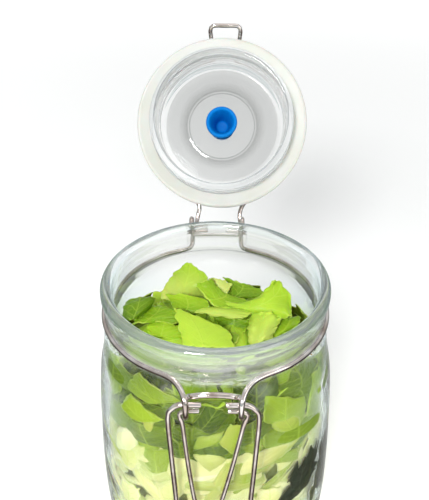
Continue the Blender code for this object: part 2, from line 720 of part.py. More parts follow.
def main():
    clear_scene()
    glass = make_material("glass", (0.82, 0.93, 0.9), 0.03, 0.0, 0.35)
    steel = make_material("stainless_wire", (0.62, 0.59, 0.56), 0.2, 1.0)
    cream = make_material("cream_silicone", (0.86, 0.87, 0.8), 0.5)
    blue = make_material("blue_silicone", (0.0, 0.24, 0.85), 0.4)
    leaf = make_material("green_leaf", (0.36, 0.56, 0.05), 0.4)
    pale = make_material("pale_shred", (0.78, 0.82, 0.42), 0.4)
    dark = make_material("dark_leaf", (0.03, 0.07, 0.03), 0.45)
    make_jar(glass)
    make_collar(steel)
    make_lever(steel)
    make_link(steel)
    hinge = make_lid_hinge()
    make_lid_glass(hinge, glass)
    make_gasket(hinge, cream)
    make_valve(hinge, blue)
    make_lid_wire(hinge, steel)
    make_leaf_heap(leaf)
    make_shred_heap(pale)
    make_dark_leaves(dark)
    bpy.context.view_layer.update()


main()
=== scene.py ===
import math
import random

import bpy
from mathutils import Matrix, Vector, noise


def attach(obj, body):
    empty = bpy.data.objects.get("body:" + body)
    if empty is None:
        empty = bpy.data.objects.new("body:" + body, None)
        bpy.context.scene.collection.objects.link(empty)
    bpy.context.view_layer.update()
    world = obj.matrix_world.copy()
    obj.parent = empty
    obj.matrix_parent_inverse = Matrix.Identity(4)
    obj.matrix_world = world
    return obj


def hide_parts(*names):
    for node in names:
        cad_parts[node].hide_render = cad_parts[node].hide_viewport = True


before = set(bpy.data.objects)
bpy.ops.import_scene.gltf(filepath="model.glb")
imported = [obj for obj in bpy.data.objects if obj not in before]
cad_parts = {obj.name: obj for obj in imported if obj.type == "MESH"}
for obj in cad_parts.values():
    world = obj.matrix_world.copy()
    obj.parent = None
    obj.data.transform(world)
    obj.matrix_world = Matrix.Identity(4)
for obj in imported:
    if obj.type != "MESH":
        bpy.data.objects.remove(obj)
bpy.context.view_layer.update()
mm = 0.001

# sizes that several pieces share, in millimetres; a drop counts down from the top of the rim
jar = {"height": 168.0, "rim": 52.5, "lip": 2.55, "mouth": 47.4, "neck": 51.5, "grooveDrop": 15.8}
bodyShape = ((52.1, 21.6), (52.5, 23.5), (53.0, 27.5), (54.2, 35.5), (56.3, 45.0), (58.1, 60.0), (59.4, 77.0),
             (60.9, 101.0), (61.6, 126.0), (61.0, 148.0))  # radius, drop
wallThickness = 3.6
hinge = {"x": 0.88, "y": 59.5, "drop": 8.2, "turn": -2.3, "opening": 122.2}


def dropSelection():
    if bpy.context.object and bpy.context.object.mode != "OBJECT":
        bpy.ops.object.mode_set(mode="OBJECT")
    bpy.ops.object.select_all(action="DESELECT")


def pick(piece):
    dropSelection()
    piece.select_set(True)
    bpy.context.view_layer.objects.active = piece


def arc(centreR, centreZ, radius, start, end, steps):
    # points of an arc in the section plane, degrees from outwards to upwards
    angles = [math.radians(start + (end - start) * i / steps) for i in range(steps + 1)]
    return [(centreR + radius * math.cos(a), centreZ + radius * math.sin(a)) for a in angles]


def flowing(points, spacing, closed=False):
    # a smooth line through the points, read about every spacing millimetres
    points = [Vector(p) for p in points]
    count = len(points)
    line = []
    for i in range(count if closed else count - 1):
        if closed:
            before, start, end, after = (points[(i + k) % count] for k in (-1, 0, 1, 2))
        else:
            start, end = points[i], points[i + 1]
            before = points[i - 1] if i else start * 2 - end
            after = points[i + 2] if i + 2 < count else end * 2 - start
        steps = max(1, round((end - start).length / spacing))
        for k in range(steps):
            t = k / steps
            bend = (2 * before - 5 * start + 4 * end - after) * t * t
            turn = (3 * start - before - 3 * end + after) * t ** 3
            line.append(0.5 * (2 * start + (end - before) * t + bend + turn))
    if not closed:
        line.append(points[-1])
    return line


def cleaned(piece, weld, smoothAngle=50):
    # merges double points, turns the faces outwards and shades them smooth up to an angle
    bpy.ops.object.mode_set(mode="EDIT")
    bpy.ops.mesh.select_all(action="SELECT")
    bpy.ops.mesh.remove_doubles(threshold=weld)
    bpy.ops.mesh.normals_make_consistent(inside=False)
    bpy.ops.object.mode_set(mode="OBJECT")
    bpy.ops.object.shade_smooth_by_angle(angle=math.radians(smoothAngle))
    return piece


def turnedPiece(name, section, steps, smoothAngle=50):
    # draws a section point by point beside the axis and spins it all the way round
    dropSelection()
    bpy.ops.mesh.primitive_plane_add(size=0.002)
    piece = bpy.context.object
    piece.name = piece.data.name = name
    bpy.ops.object.mode_set(mode="EDIT")
    bpy.ops.mesh.merge(type="CENTER")
    bpy.ops.transform.translate(value=(section[0][0] * mm, 0, section[0][1] * mm))
    for (r0, z0), (r1, z1) in zip(section, section[1:]):
        step = ((r1 - r0) * mm, 0, (z1 - z0) * mm)
        bpy.ops.mesh.extrude_region_move(TRANSFORM_OT_translate={"value": step})
    bpy.ops.mesh.select_all(action="SELECT")
    bpy.ops.mesh.spin(steps=steps, angle=2 * math.pi, center=(0, 0, 0), axis=(0, 0, 1))
    return cleaned(piece, 0.000008, smoothAngle)


def settle(piece, matrix):
    # puts a piece in its place and leaves the place in its mesh
    pick(piece)
    piece.matrix_world = matrix
    bpy.ops.object.transform_apply(location=True, rotation=True, scale=True)


def wirePiece(name, path, radius, closed=False):
    # a round drawn wire; a loose end is a little chamfered
    dropSelection()
    bpy.ops.curve.primitive_nurbs_path_add()
    wire = bpy.context.object
    wire.name = wire.data.name = name
    curve = wire.data
    curve.splines.clear()
    curve.bevel_depth = radius * mm
    curve.bevel_resolution = 5
    curve.use_fill_caps = True
    points = [(Vector(p), 1.0) for p in path]
    if not closed:
        for end, inner in ((0, 1), (-1, -2)):
            place, towards = points[end][0], (points[inner][0] - points[end][0]).normalized()
            extra = [(place, 0.72), (place + towards * 0.14, 0.92), (place + towards * 0.4, 1.0)]
            points = extra + points[1:] if end == 0 else points[:-1] + extra[::-1]
    spline = curve.splines.new("POLY")
    spline.points.add(len(points) - 1)
    for point, (place, share) in zip(spline.points, points):
        point.co = (*(place * mm), 1.0)
        point.radius = share
    spline.use_cyclic_u = closed
    spline.use_smooth = True
    pick(wire)
    bpy.ops.object.convert(target="MESH")
    return cleaned(wire, 0.000005)


def finished(piece, material, slotName, body, *nodes):
    piece.data.materials.clear()
    piece.data.materials.append(material)
    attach(piece, body)
    if nodes:
        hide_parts(*nodes)
    return piece


class Value:
    # a shader socket that takes part in sums
    def __init__(self, maker, socket):
        self.maker, self.socket = maker, socket

    def sum(self, operation, first, second):
        return self.maker.node("ShaderNodeMath", {"operation": operation}, {0: first, 1: second})

    def __add__(self, other):
        return self.sum("ADD", self, other)

    def __radd__(self, other):
        return self.sum("ADD", other, self)

    def __sub__(self, other):
        return self.sum("SUBTRACT", self, other)

    def __rsub__(self, other):
        return self.sum("SUBTRACT", other, self)

    def __mul__(self, other):
        return self.sum("MULTIPLY", self, other)

    def __rmul__(self, other):
        return self.sum("MULTIPLY", other, self)

    def least(self, other):
        return self.sum("MINIMUM", self, other)

    def most(self, other):
        return self.sum("MAXIMUM", self, other)

    def stretched(self, low, high):
        # 0 below low, 1 above high
        return self.maker.node("ShaderNodeMapRange", {}, {0: self, 1: low, 2: high})


class NodeMaker:
    # makes, sets and links the nodes of a material or the world
    def __init__(self, tree):
        self.tree = tree

    def set(self, node, key, value):
        name = key.replace("_", " ") if isinstance(key, str) else key
        if isinstance(value, Value):
            self.tree.links.new(value.socket, node.inputs[name])
        else:
            node.inputs[name].default_value = value

    def node(self, kind, settings, sockets, output=0):
        node = self.tree.nodes.new(kind)
        for key, value in settings.items():
            if key == "stops":
                elements = node.color_ramp.elements
                for i, (place, colour) in enumerate(value):
                    stop = elements[i] if i < len(elements) else elements.new(place)
                    stop.position, stop.color = place, (*colour, 1)
            else:
                setattr(node, key, value)
        for key, value in sockets.items():
            self.set(node, key, value)
        return Value(self, node.outputs[output]) if node.outputs else node  # the world's end has no outputs

    def part(self, vector, number):
        return self.node("ShaderNodeSeparateXYZ", {}, {0: vector}, number)

    def mixed(self, share, first, second, blend="MIX"):
        settings = {"data_type": "RGBA", "blend_type": blend}
        return self.node("ShaderNodeMix", settings, {0: share, 6: first, 7: second}, 2)


class Paint(NodeMaker):
    # a material
    def __init__(self, name, **fixed):
        self.material = bpy.data.materials.new(name)
        self.material.use_nodes = True
        super().__init__(self.material.node_tree)
        self.shader = self.tree.nodes["Principled BSDF"]
        for socket, value in fixed.items():
            self.give(socket, value)

    def give(self, key, value):
        self.set(self.shader, key, value)

    def place(self):
        return self.node("ShaderNodeTexCoord", {}, {}, "Object")

    def noise(self, vector, scale, detail):
        sockets = {"Vector": vector, "Scale": scale, "Detail": detail, "Roughness": 0.55}
        return self.node("ShaderNodeTexNoise", {}, sockets)

    def bump(self, height, strength, distance):
        sockets = {"Height": height, "Strength": strength, "Distance": distance}
        self.give("Normal", self.node("ShaderNodeBump", {}, sockets))


# pairs say where a zone of the jar begins or ends, in metres below the rim
glassLooks = {
    "pressedGlass": {
        "tint": (0.99, 1.0, 0.995, 1), "edge": (0.56, 0.86, 0.90, 1), "bump": 0.015, "mirror": 0.04,
        # the three shine colours are painted glow, given out as emission at the rim, the lip's front and the
        # neck
        "paintedRimGlow": (0.014, 0.052, 0.066, 1), "paintedNeckGlowTone": (0.19, 0.19, 0.215, 1),
        "paintedFrontGlow": (0.09, 0.135, 0.12, 1), "coatIor": 3.3, "alpha": 0.80, "frontReach": 0.045,
        "lipEnd": (0.0024, 0.0034), "rimEnd": (0.0052, 0.0060), "neckTop": (0.0058, 0.0068),
        "clearTop": (0.0105, 0.0115), "clearEnd": (0.0130, 0.0138), "neckEnd": (0.0175, 0.0195),
        "bodyTop": (0.019, 0.026)},
    "lidGlass": {
        "tint": (0.985, 0.99, 0.985, 1), "edge": (0.5, 0.62, 0.62, 1), "paintedShadeTint": (0.12, 0.125, 0.12, 1),
        "bump": 0.008, "mirror": 1.0, "depth": 5.0, "alpha": 0.72},
}


def zonedGlass(paint, place, look):
    # the jar's lip, rim, neck and body; between the neck's two thick bands the wall is clear
    drop = jar["height"] * mm - paint.part(place, 2)
    front = (0.0 - paint.part(place, 1)).stretched(0.0, look["frontReach"])

    def past(zone):
        return drop.stretched(*look[zone])

    clear = past("clearTop") * (1 - past("clearEnd"))
    aboveBody = 1 - past("neckEnd")
    # the thick neck mirrors more than the even wall
    neckCoat = past("neckTop") * aboveBody * (1 - clear * 0.45) * (0.35 + front * 0.65)
    paint.give("Coat Weight", neckCoat + (1 - past("rimEnd")) * 0.5)
    paint.give("Coat IOR", look["coatIor"])
    # painted glow: emission lights the rim and the neck in pale tones, most at the front, as a stand-in for
    # reflections in the thick glass
    paintedGlowShare = aboveBody * (1 - clear * 0.8) * (0.08 + front * 0.92)
    paintedNeckGlow = paint.mixed(paintedGlowShare, (0, 0, 0, 1), look["paintedNeckGlowTone"])
    paintedLipGlow = paint.mixed(front * front, look["paintedRimGlow"], look["paintedFrontGlow"])
    paint.give("Emission Color", paint.mixed(1 - past("lipEnd"), paintedNeckGlow, paintedLipGlow))
    paint.give("Emission Strength", 1.0)
    # some light passes straight through, most of it at the body's sides, where the wall turns away
    edge = paint.node("ShaderNodeLayerWeight", {}, {"Blend": 0.35}, "Facing")
    paint.give("Base Color", paint.mixed(edge.stretched(0.25, 0.9), look["tint"], look["edge"]))
    soft = past("bodyTop") * (0.13 - edge.stretched(0.55, 0.92) * 0.5)
    paint.give("Alpha", look["alpha"] + soft)


def glassPaint(name):
    look = glassLooks[name]
    paint = Paint(name, Base_Color=look["tint"], Roughness=0.0, IOR=1.5, Transmission_Weight=1.0,
                  Specular_Tint=(*(look["mirror"],) * 3, 1))
    place = paint.place()
    if "paintedShadeTint" in look:
        # painted shade: the flat of the lid is tinted greyer than its outer rings, and its round lines darker
        # still
        paintedShade = paint.node("ShaderNodeAttribute", {"attribute_name": "paintedShade"}, {}, "Fac")
        paint.give("Base Color", paint.mixed(paintedShade, look["tint"], look["paintedShadeTint"]))
        paint.give("Alpha", look["alpha"])
        sockets = {"Color": look["edge"], "Density": look["depth"]}
        absorb = paint.node("ShaderNodeVolumeAbsorption", {}, sockets)
        paint.set(paint.tree.nodes["Material Output"], "Volume", absorb)
    else:
        zonedGlass(paint, place, look)
    paint.bump(paint.noise(place, 42.0, 1.0), look["bump"], 0.0006)
    return paint.material


# two tones that drift in clouds, a fine grain, and the share of base, clouds and grain in the roughness
grainLooks = {
    "drawnStainlessWire": {
        "tone": (0.86, 0.81, 0.78, 1), "second": (0.46, 0.37, 0.32, 1), "stretch": (0.35, 0.7),
        "clouds": (90.0, 4.0), "grain": (900.0, 3.0), "rough": (0.05, 0.07, 0.04), "bump": 0.08},
    "creamSilicone": {
        "tone": (0.60, 0.605, 0.58, 1), "second": (0.55, 0.56, 0.50, 1), "stretch": (0.3, 0.75),
        "clouds": (45.0, 3.0), "grain": (1400.0, 2.0), "rough": (0.36, 0.16, 0.0), "bump": 0.12},
    "blueSilicone": {
        "tone": (0.0, 0.185, 0.58, 1), "second": (0.0, 0.145, 0.48, 1), "stretch": (0.0, 1.0),
        "clouds": (160.0, 3.0), "grain": (1600.0, 2.0), "rough": (0.44, 0.14, 0.0), "bump": 0.12},
}


def grainPaint(name, **fixed):
    look = grainLooks[name]
    paint = Paint(name, **fixed)
    clouds = paint.noise(paint.place(), *look["clouds"])
    grain = paint.noise(paint.place(), *look["grain"])
    tint = paint.mixed(clouds.stretched(*look["stretch"]), look["tone"], look["second"])
    paint.give("Base Color", tint)
    base, cloudShare, grainShare = look["rough"]
    paint.give("Roughness", base + clouds * cloudShare + grain * grainShare)
    paint.bump(grain, look["bump"], 0.0002)
    return paint.material


leafLooks = {
    "greenCabbage": {"vein": (0.46, 0.62, 0.07, 1), "cut": (0.52, 0.66, 0.11, 1), "veins": 0.42,
                     "gloss": 0.12},
    "paleCabbage": {"vein": (0.80, 0.82, 0.45, 1), "cut": (0.84, 0.85, 0.50, 1), "veins": 0.3, "gloss": 0.12},
    "darkLeaf": {"vein": (0.08, 0.10, 0.05, 1), "cut": (0.16, 0.15, 0.07, 1), "veins": 0.35, "gloss": 0.3},
}


def leafPaint(name):
    # the leaf's own tint, branching veins, a cut edge and a wet waxy skin
    look = leafLooks[name]
    paint = Paint(name, Subsurface_Weight=0.15, Subsurface_Scale=0.003, Coat_Roughness=0.15,
                  Specular_IOR_Level=0.15)
    place = paint.place()
    tint = paint.node("ShaderNodeAttribute", {"attribute_name": "tint"}, {}, "Color")
    uv = paint.node("ShaderNodeUVMap", {"uv_map": "UVMap"}, {})
    across, along = paint.part(uv, 0), paint.part(uv, 1)
    aside = paint.node("ShaderNodeMath", {"operation": "ABSOLUTE"}, {0: across - 0.46})
    wander = paint.noise(place, 120.0, 2.0)
    slope = (along - aside * 0.9 + wander * 0.25) * 26.0
    branch = paint.node("ShaderNodeMath", {"operation": "SINE"}, {0: slope})
    veins = branch.stretched(0.86, 1.0) * (1 - aside * 1.6)
    rib = 1 - aside.stretched(0.0, 0.03)
    cells = {"Vector": place, "Scale": 420.0}
    mesh = paint.node("ShaderNodeTexVoronoi", {"feature": "DISTANCE_TO_EDGE"}, cells)
    netting = 1 - mesh.stretched(0.0, 0.07)
    lines = veins.most(rib).most(netting * 0.35)
    border = across.least(1 - across).least(along).least(1 - along)
    cut = 1 - border.stretched(0.012, 0.035)
    blotch = paint.noise(place, 60.0, 4.0)
    fine = paint.noise(place, 700.0, 3.0)
    dimmed = paint.mixed(1.0, tint, (0.72, 0.80, 0.6, 1), "MULTIPLY")
    shade = paint.mixed(blotch.stretched(0.3, 0.75) * 0.5, tint, dimmed)
    veined = paint.mixed(lines * look["veins"], shade, look["vein"])
    paint.give("Base Color", paint.mixed(cut * 0.55, veined, look["cut"]))
    paint.give("Roughness", 0.34 + blotch * 0.2 - cut * 0.08)
    paint.give("Coat Weight", blotch.stretched(0.4, 0.7) * look["gloss"])
    paint.bump(lines * 0.7 + blotch * 1.2 + fine * 0.12, 0.28, 0.0008)
    return paint.material


glass = glassPaint("pressedGlass")
lidClear = glassPaint("lidGlass")
steel = grainPaint("drawnStainlessWire", Metallic=1.0)
cream = grainPaint("creamSilicone", Subsurface_Weight=0.2, Subsurface_Scale=0.003)
blue = grainPaint("blueSilicone", Specular_IOR_Level=0.08)
greenLeaf = leafPaint("greenCabbage")
paleLeaf = leafPaint("paleCabbage")
darkLeaf = leafPaint("darkLeaf")
print("materials ready")


def bodyRadius(drop):
    if drop <= bodyShape[0][1]:
        return bodyShape[0][0]
    for (r1, d1), (r2, d2) in zip(bodyShape, bodyShape[1:]):
        if drop <= d2:
            return r1 + (r2 - r1) * (drop - d1) / (d2 - d1)
    return bodyShape[-1][0]


# the hollow goes straight down, widens below the neck and rounds in to the floor
hollow = {"straight": 18.0, "swell": 20.0, "swellIn": 1.4, "floorFrom": 148.0, "floorTall": 14.0,
          "floorIn": 9.5}


def innerRadius(drop):
    if drop < hollow["straight"]:
        return jar["mouth"]
    if drop > hollow["floorFrom"]:
        t = min(1.0, (drop - hollow["floorFrom"]) / hollow["floorTall"])
        return bodyShape[-1][0] - wallThickness - hollow["floorIn"] * (1 - math.sqrt(max(0.0, 1 - t * t)))
    thicker = hollow["swellIn"] * max(0.0, 1 - (drop - hollow["straight"]) / hollow["swell"])
    return max(jar["mouth"], bodyRadius(drop) - wallThickness - thicker)


def makeJar():
    top, lip = jar["height"], jar["lip"]
    neck, gz = jar["neck"], jar["height"] - jar["grooveDrop"]
    outside = arc(jar["rim"] - lip, top - lip, lip, 180, 0, 20)
    outside += [
        (52.5, top - 4.2), (52.42, top - 4.9), (52.1, top - 5.5), (51.7, top - 5.9),
        (neck, top - 6.5), (neck, top - 9.5), (neck, gz + 3.2), (51.42, gz + 3.0),
        (51.15, gz + 2.2), (50.95, gz + 1.0),
        (50.9, gz), (50.95, gz - 1.2), (51.1, gz - 1.45), (51.3, gz - 2.4),
        (51.6, gz - 3.7), (51.9, gz - 5.0),
    ]
    lower = flowing([(r, top - drop, 0) for r, drop in bodyShape], 3.0)
    outside += [(p.x, p.y) for p in lower]
    outside += arc(49.0, 12.0, 12.0, 0, -90, 14)[1:]
    inside = [(30.0, 4.2), (38.0, 4.25), (innerRadius(162.0) - 6.0, 4.6), (innerRadius(161.0) - 1.6, 5.6)]
    drops = (159, 156, 152, 148, 138, 126, 114, 101, 89, 77, 66, 55, 48, 42, 36, 30, 24, 19)
    inside += [(innerRadius(drop), top - drop) for drop in drops]
    smoothInside = [(p.x, p.y) for p in flowing([(r, z, 0) for r, z in inside], 2.5)]
    section = outside + [(30.0, 0.0), (0.0, 0.0)]
    wall = [(0.0, 4.2), *smoothInside]
    wall += [(jar["mouth"], top - 14.0), (jar["mouth"], top - 8.0), (jar["mouth"], top - lip - 0.4)]
    piece = turnedPiece("jarGlass", wall + section, 144)
    # clear glass lets the light reach the food
    piece.visible_shadow = piece.visible_diffuse = False
    return finished(piece, glass, "glass", "jar", "jar_glass")


def lidPlace():
    turn = Matrix.Rotation(math.radians(hinge["turn"]), 4, "Z")
    shut = Matrix.Translation(Vector((hinge["x"], hinge["y"], jar["height"] - hinge["drop"])) * mm) @ turn
    middle = shut.inverted() @ Vector((0.0, 0.0, jar["height"] * mm))
    opened = shut @ Matrix.Rotation(math.radians(-hinge["opening"]), 4, "X")
    return opened, middle


# the last keys give the painted shade on the flat of the lid, how it leans across the flat and how dark its
# round lines are
lid = {"plug": 40.3, "plugDepth": 9.8, "plugWall": 4.7, "flange": 48.1, "flangeLow": 3.6, "flangeHigh": 8.5,
       "dome": 41.8, "domeHigh": 14.2, "ceiling": 9.3, "plate": 20.6, "plateHigh": 10.0, "hole": 6.4,
       "dimmed": 32.5, "paintedShade": 0.45, "paintedShadeLean": 0.11, "paintedLineShade": 0.95, "aside": -0.35}


def makeLidGlass(place):
    # plate, ceiling, plug, flange and dome, in turn from the hole outwards and back over the top
    hole, plate, dimmed, plug = lid["hole"], lid["plate"], lid["dimmed"], lid["plug"]
    flange, dome = lid["flange"], lid["dome"]
    high, ceiling, low, top = lid["plateHigh"], lid["ceiling"], lid["flangeLow"], lid["domeHigh"]
    inner = plug - lid["plugWall"]
    half = lid["plugWall"] / 2
    section = [
        (hole, high), (plate - 1.9, high), (plate - 1.75, high + 0.7), (plate - 1.35, high + 0.7),
        (plate - 1.2, high), (plate - 0.05, high + 0.1), (plate, ceiling), (26.0, ceiling),
        (dimmed - 0.1, ceiling), (dimmed + 0.1, ceiling - 0.05),
        (inner - 2.4, ceiling - 0.25), (inner - 1.7, ceiling - 0.8), (inner - 1.1, ceiling - 1.8),
        (inner - 0.6, ceiling - 3.2), (inner - 0.3, ceiling - 5.4), (inner, 0.0),
        *arc(inner + half, -lid["plugDepth"] + half, half, 180, 360, 14),
        (plug, -2.0), (plug, low - 0.5), (plug + 0.15, 3.5), (plug + 0.6, low),
        (flange - 1.0, low), (flange - 0.4, 3.8), (flange, 4.5),
        (flange, lid["flangeHigh"] - 1.2), (flange - 0.4, 8.1), (flange - 1.2, 8.5),
        (dome + 0.8, 8.5), (dome + 0.15, 8.8), (dome, 9.6),
        *arc(dome - 2.6, top - 2.6, 2.6, 0, 90, 8),
        (30.0, top), (hole, top),
    ]
    section.append(section[0])
    piece = turnedPiece("lidGlass", section, 144, 40)
    paintedShade = piece.data.attributes.new("paintedShade", "FLOAT", "POINT")
    for vertex, share in zip(piece.data.vertices, paintedShade.data):
        reach = math.hypot(vertex.co.x, vertex.co.y) / mm
        # painted shade over the flat, stronger towards one side
        even = lid["paintedShade"] - lid["paintedShadeLean"] * vertex.co.y / mm / dimmed
        # painted dark lines at the round line and the plate's edge
        line = min(abs(reach - plate + 1.55), abs(reach - plate)) < 0.22
        share.value = (lid["paintedLineShade"] if line else even) if reach < dimmed and vertex.co.z > 0.008 else 0.0
    settle(piece, place)
    return finished(piece, lidClear, "glass", "lid", "lid_glass")


gasket = {"outer": 48.35, "inner": 40.6, "low": 0.3, "high": 3.3}


def makeGasket(place):
    outer, inner, low, high = gasket["outer"], gasket["inner"], gasket["low"], gasket["high"]
    section = [
        (inner, low + 0.6), (inner + 0.2, low + 0.15), (inner + 0.7, low), (outer - 2.6, low),
        (outer - 2.2, 0.15), (outer - 1.6, 0.05), (outer - 0.9, 0.1), (outer - 0.3, 0.45),
        (outer, 1.0), (outer, high - 0.6), (outer - 0.2, high - 0.15), (outer - 0.7, high),
        (inner + 0.5, high), (inner, high - 0.4),
    ]
    section.append(section[0])
    piece = turnedPiece("gasketRing", section, 144, 40)
    settle(piece, place)
    return finished(piece, cream, "gasket", "lid", "gasket")


def makeValve(place):
    # an open cup that hangs under the lid, its neck through the lid and a flange on top
    hole, under, top = lid["hole"] - 0.3, lid["plateHigh"] - 0.3, lid["domeHigh"] + 0.3
    section = [
        (0.0, 12.7), (2.4, 12.65), (3.2, 12.45), (3.6, 12.0), (3.8, 11.4), (4.9, 6.0), (6.4, 0.6),
        (6.7, -0.3), (7.0, -0.95), (7.5, -1.3), (8.0, -1.4), (8.5, -1.15), (8.82, -0.6), (8.9, 0.3),
        (8.7, 1.2), (8.2, 1.9), (7.2, 2.6), (6.5, 5.0), (6.1, under - 0.4), (6.1, under),
        (hole, under), (hole, top), (7.0, top), (7.3, top + 0.3), (7.25, top + 0.9),
        (6.9, top + 1.3), (5.6, top + 1.8), (3.4, top + 2.05), (0.0, top + 2.1),
    ]
    piece = turnedPiece("valveCup", section, 72, 55)
    settle(piece, place)
    return finished(piece, blue, "valve", "lid", "valve")


opened, lidMiddle = lidPlace()
makeJar()
lidAxis = opened @ Matrix.Translation(lidMiddle + Vector((lid["aside"] * mm, 0, 0)))
makeLidGlass(lidAxis)
makeGasket(lidAxis)
makeValve(lidAxis)
print("jar, lid, gasket and valve made")

wires = {"collar": 1.25, "lid": 1.2, "lever": 1.2, "link": 1.1, "turn": -0.85, "eyeX": 11.0, "eyeY": -56.5,
         "eyeHalf": 2.7, "leverDrop": 23.2, "linkDrop": 26.6, "leverHalf": 18.3, "leverLow": 15.9,
         "leverBottom": 96.0, "linkSkew": -2.4, "linkBottom": 88.0, "backX": 13.9, "backHalf": 3.1,
         "collarRadius": 51.85, "ring": 43.4, "ringHigh": 10.0, "catchHalf": 8.65, "catchAside": 0.6,
         "catchReach": 56.3, "catchHigh": 4.1}


def eyePath(x, y, z, half, upwards):
    # half a turn from the back of an eye to its front, over or under its middle
    turns = [math.pi * i / 4 for i in range(5)]
    return [(x, y + half * math.cos(a), z + upwards * half * math.sin(a)) for a in turns]


def collarPath():
    # half of the closed collar wire: clasp arch, clasp eye, neck groove, hinge eye and hinge bar
    top, x, y, half = jar["height"], wires["eyeX"], wires["eyeY"], wires["eyeHalf"]
    path = [
        (0.0, -54.9, top - 19.4), (5.0, -54.8, top - 19.7), (8.5, -54.4, top - 20.7),
        (x - 0.5, y + half + 0.1, top - 21.9), (x, y + half, top - 24.2),
        *eyePath(x, y, top - wires["linkDrop"] + 0.1, half, -1),
        (x, y - half, top - 22.6), (x + 0.3, y - half + 1.2, top - 19.5),
        (x + 1.9, y + 2.0, top - 17.3), (x + 4.8, -50.9, top - 16.1),
    ]
    reach = wires["collarRadius"]
    start, end = -math.acos(20.0 / reach), math.acos(17.0 / reach)
    for i in range(10):
        a = start + (end - start) * i / 9
        path.append((reach * math.cos(a), reach * math.sin(a), top - jar["grooveDrop"]))
    x, y, half = wires["backX"], hinge["y"], wires["backHalf"]
    path += [
        (x + 0.8, 51.6, top - 15.6), (x, 55.4, top - 14.4), (x, y + half - 0.9, top - 12.0),
        *eyePath(x, y, top - hinge["drop"] + 1.2, half, 1),
        (x - 0.1, y - half + 0.1, top - 8.9), (x - 1.4, y - half + 0.4, top - 10.4),
        (x - 4.6, y - half + 0.5, top - 10.6), (0.0, y - half + 0.6, top - 10.6),
    ]
    return path + [(-px, py, pz) for px, py, pz in reversed(path)][1:-1]


def swingPath(half, skew):
    return flowing(half + [(-x + 2 * skew(z), y, z) for x, y, z in reversed(half)][1:], 1.5)


def leverPath():
    top, y, wide, low = jar["height"], wires["eyeY"], wires["leverHalf"], wires["leverLow"]
    drop = wires["leverDrop"]
    half = [
        (4.8, y, top - drop), (9.5, y, top - drop), (wide - 4.6, y, top - drop - 0.1),
        (wide - 1.7, y - 0.15, top - drop - 2.3), (wide, y - 0.45, top - drop - 6.8),
        (wide - 0.6, y - 2.2, top - 48.0), (low + 0.6, y - 4.3, top - 74.0), (low, y - 5.2, top - 84.0),
        (low - 2.3, y - 5.6, top - 91.5), (low - 8.0, y - 5.9, top - 95.4),
        (0.0, y - 6.0, top - wires["leverBottom"]),
    ]
    return swingPath(half, lambda z: 0.0)


def linkPath():
    top, y, drop = jar["height"], wires["eyeY"], wires["linkDrop"]
    half = [
        (5.6, y, top - drop), (9.0, y, top - drop), (12.0, y, top - drop - 0.1),
        (13.5, y - 0.05, top - drop - 1.4), (13.5, y - 0.2, top - drop - 4.1),
        (12.4, y - 0.6, top - 34.0), (9.5, y - 2.5, top - 56.0), (6.0, y - 4.4, top - 78.0),
        (4.2, y - 4.9, top - 84.6), (0.0, y - 5.2, top - wires["linkBottom"]),
    ]

    def skew(z):
        return wires["linkSkew"] * min(1.0, max(0.0, (top - drop - 4.0 - z) / 50.0))

    return swingPath([(x + skew(z), py, z) for x, py, z in half], skew)


def lidWirePath(middle):
    lift = hinge["drop"] + wires["ringHigh"]
    halves = []
    for side in (-1, 1):
        def at(x, y, high):
            return (middle.x / mm + side * x, middle.y / mm + y, hinge["drop"] + high)

        path = [
            (side * 5.2, 0.0, 0.0), (side * 9.6, 0.0, 0.0), (side * 14.4, 0.0, 0.1),
            (side * 16.3, -0.1, 1.4), (side * 16.65, -0.2, 4.4),
            (side * 16.0 + 0.1, -0.4, 8.2), (side * 13.5 + 0.3, -0.8, 12.2),
            (side * 12.7 + 0.4, -1.5, 15.4), (side * 12.6 + 0.4, -4.0, lift - 0.2),
            (side * 12.1 + 0.5, -7.6, lift), (side * 12.6 + 1.4, -12.8, lift + 0.3),
            at(17.2, 41.0, wires["ringHigh"]),
        ]
        first = math.acos(24.0 / wires["ring"])
        for i in range(8):
            a = first - 2 * first * i / 7
            path.append(at(wires["ring"] * math.cos(a), wires["ring"] * math.sin(a), wires["ringHigh"]))
        high, wide, reach = wires["ringHigh"], wires["catchHalf"], wires["catchReach"]
        aside, tip = side * wires["catchAside"], wires["catchHigh"]
        path += [
            at(15.6, -41.0, high), at(10.3, -44.4, high + 0.2),
            at(wide - 0.5 + aside, -48.6, high + 0.3), at(wide - 0.2 + aside, -52.0, high - 1.7),
            at(wide + aside, 1.9 - reach, tip + 1.6), at(wide - 1.6 + aside, -reach, tip),
            at(aside, -reach - 0.2, tip),
        ]
        halves.append(path)
    return flowing(halves[0] + list(reversed(halves[1][:-1])), 1.4)


hardwareTurn = Matrix.Rotation(math.radians(wires["turn"]), 4, "Z")
collarLine = flowing(collarPath(), 1.4, closed=True)
for name, path, gauge, closed, body, place, node in (
        ("collarWire", collarLine, "collar", True, "jar", hardwareTurn, "collar_wire"),
        ("claspLever", leverPath(), "lever", False, "lever", hardwareTurn, "clasp_lever"),
        ("claspLink", linkPath(), "link", False, "link", hardwareTurn, "clasp_link"),
        ("lidWire", lidWirePath(lidMiddle), "lid", False, "lid", opened, "lid_wire")):
    wire = wirePiece(name, path, wires[gauge], closed)
    settle(wire, place)
    finished(wire, steel, "wire", body, node)
print("wires made")

tones = {
    "lemon": (0.58, 0.66, 0.15), "lime": (0.32, 0.51, 0.018), "bright": (0.47, 0.67, 0.055),
    "mid": (0.19, 0.34, 0.009), "deep": (0.10, 0.20, 0.005), "pale": (0.68, 0.72, 0.24),
}
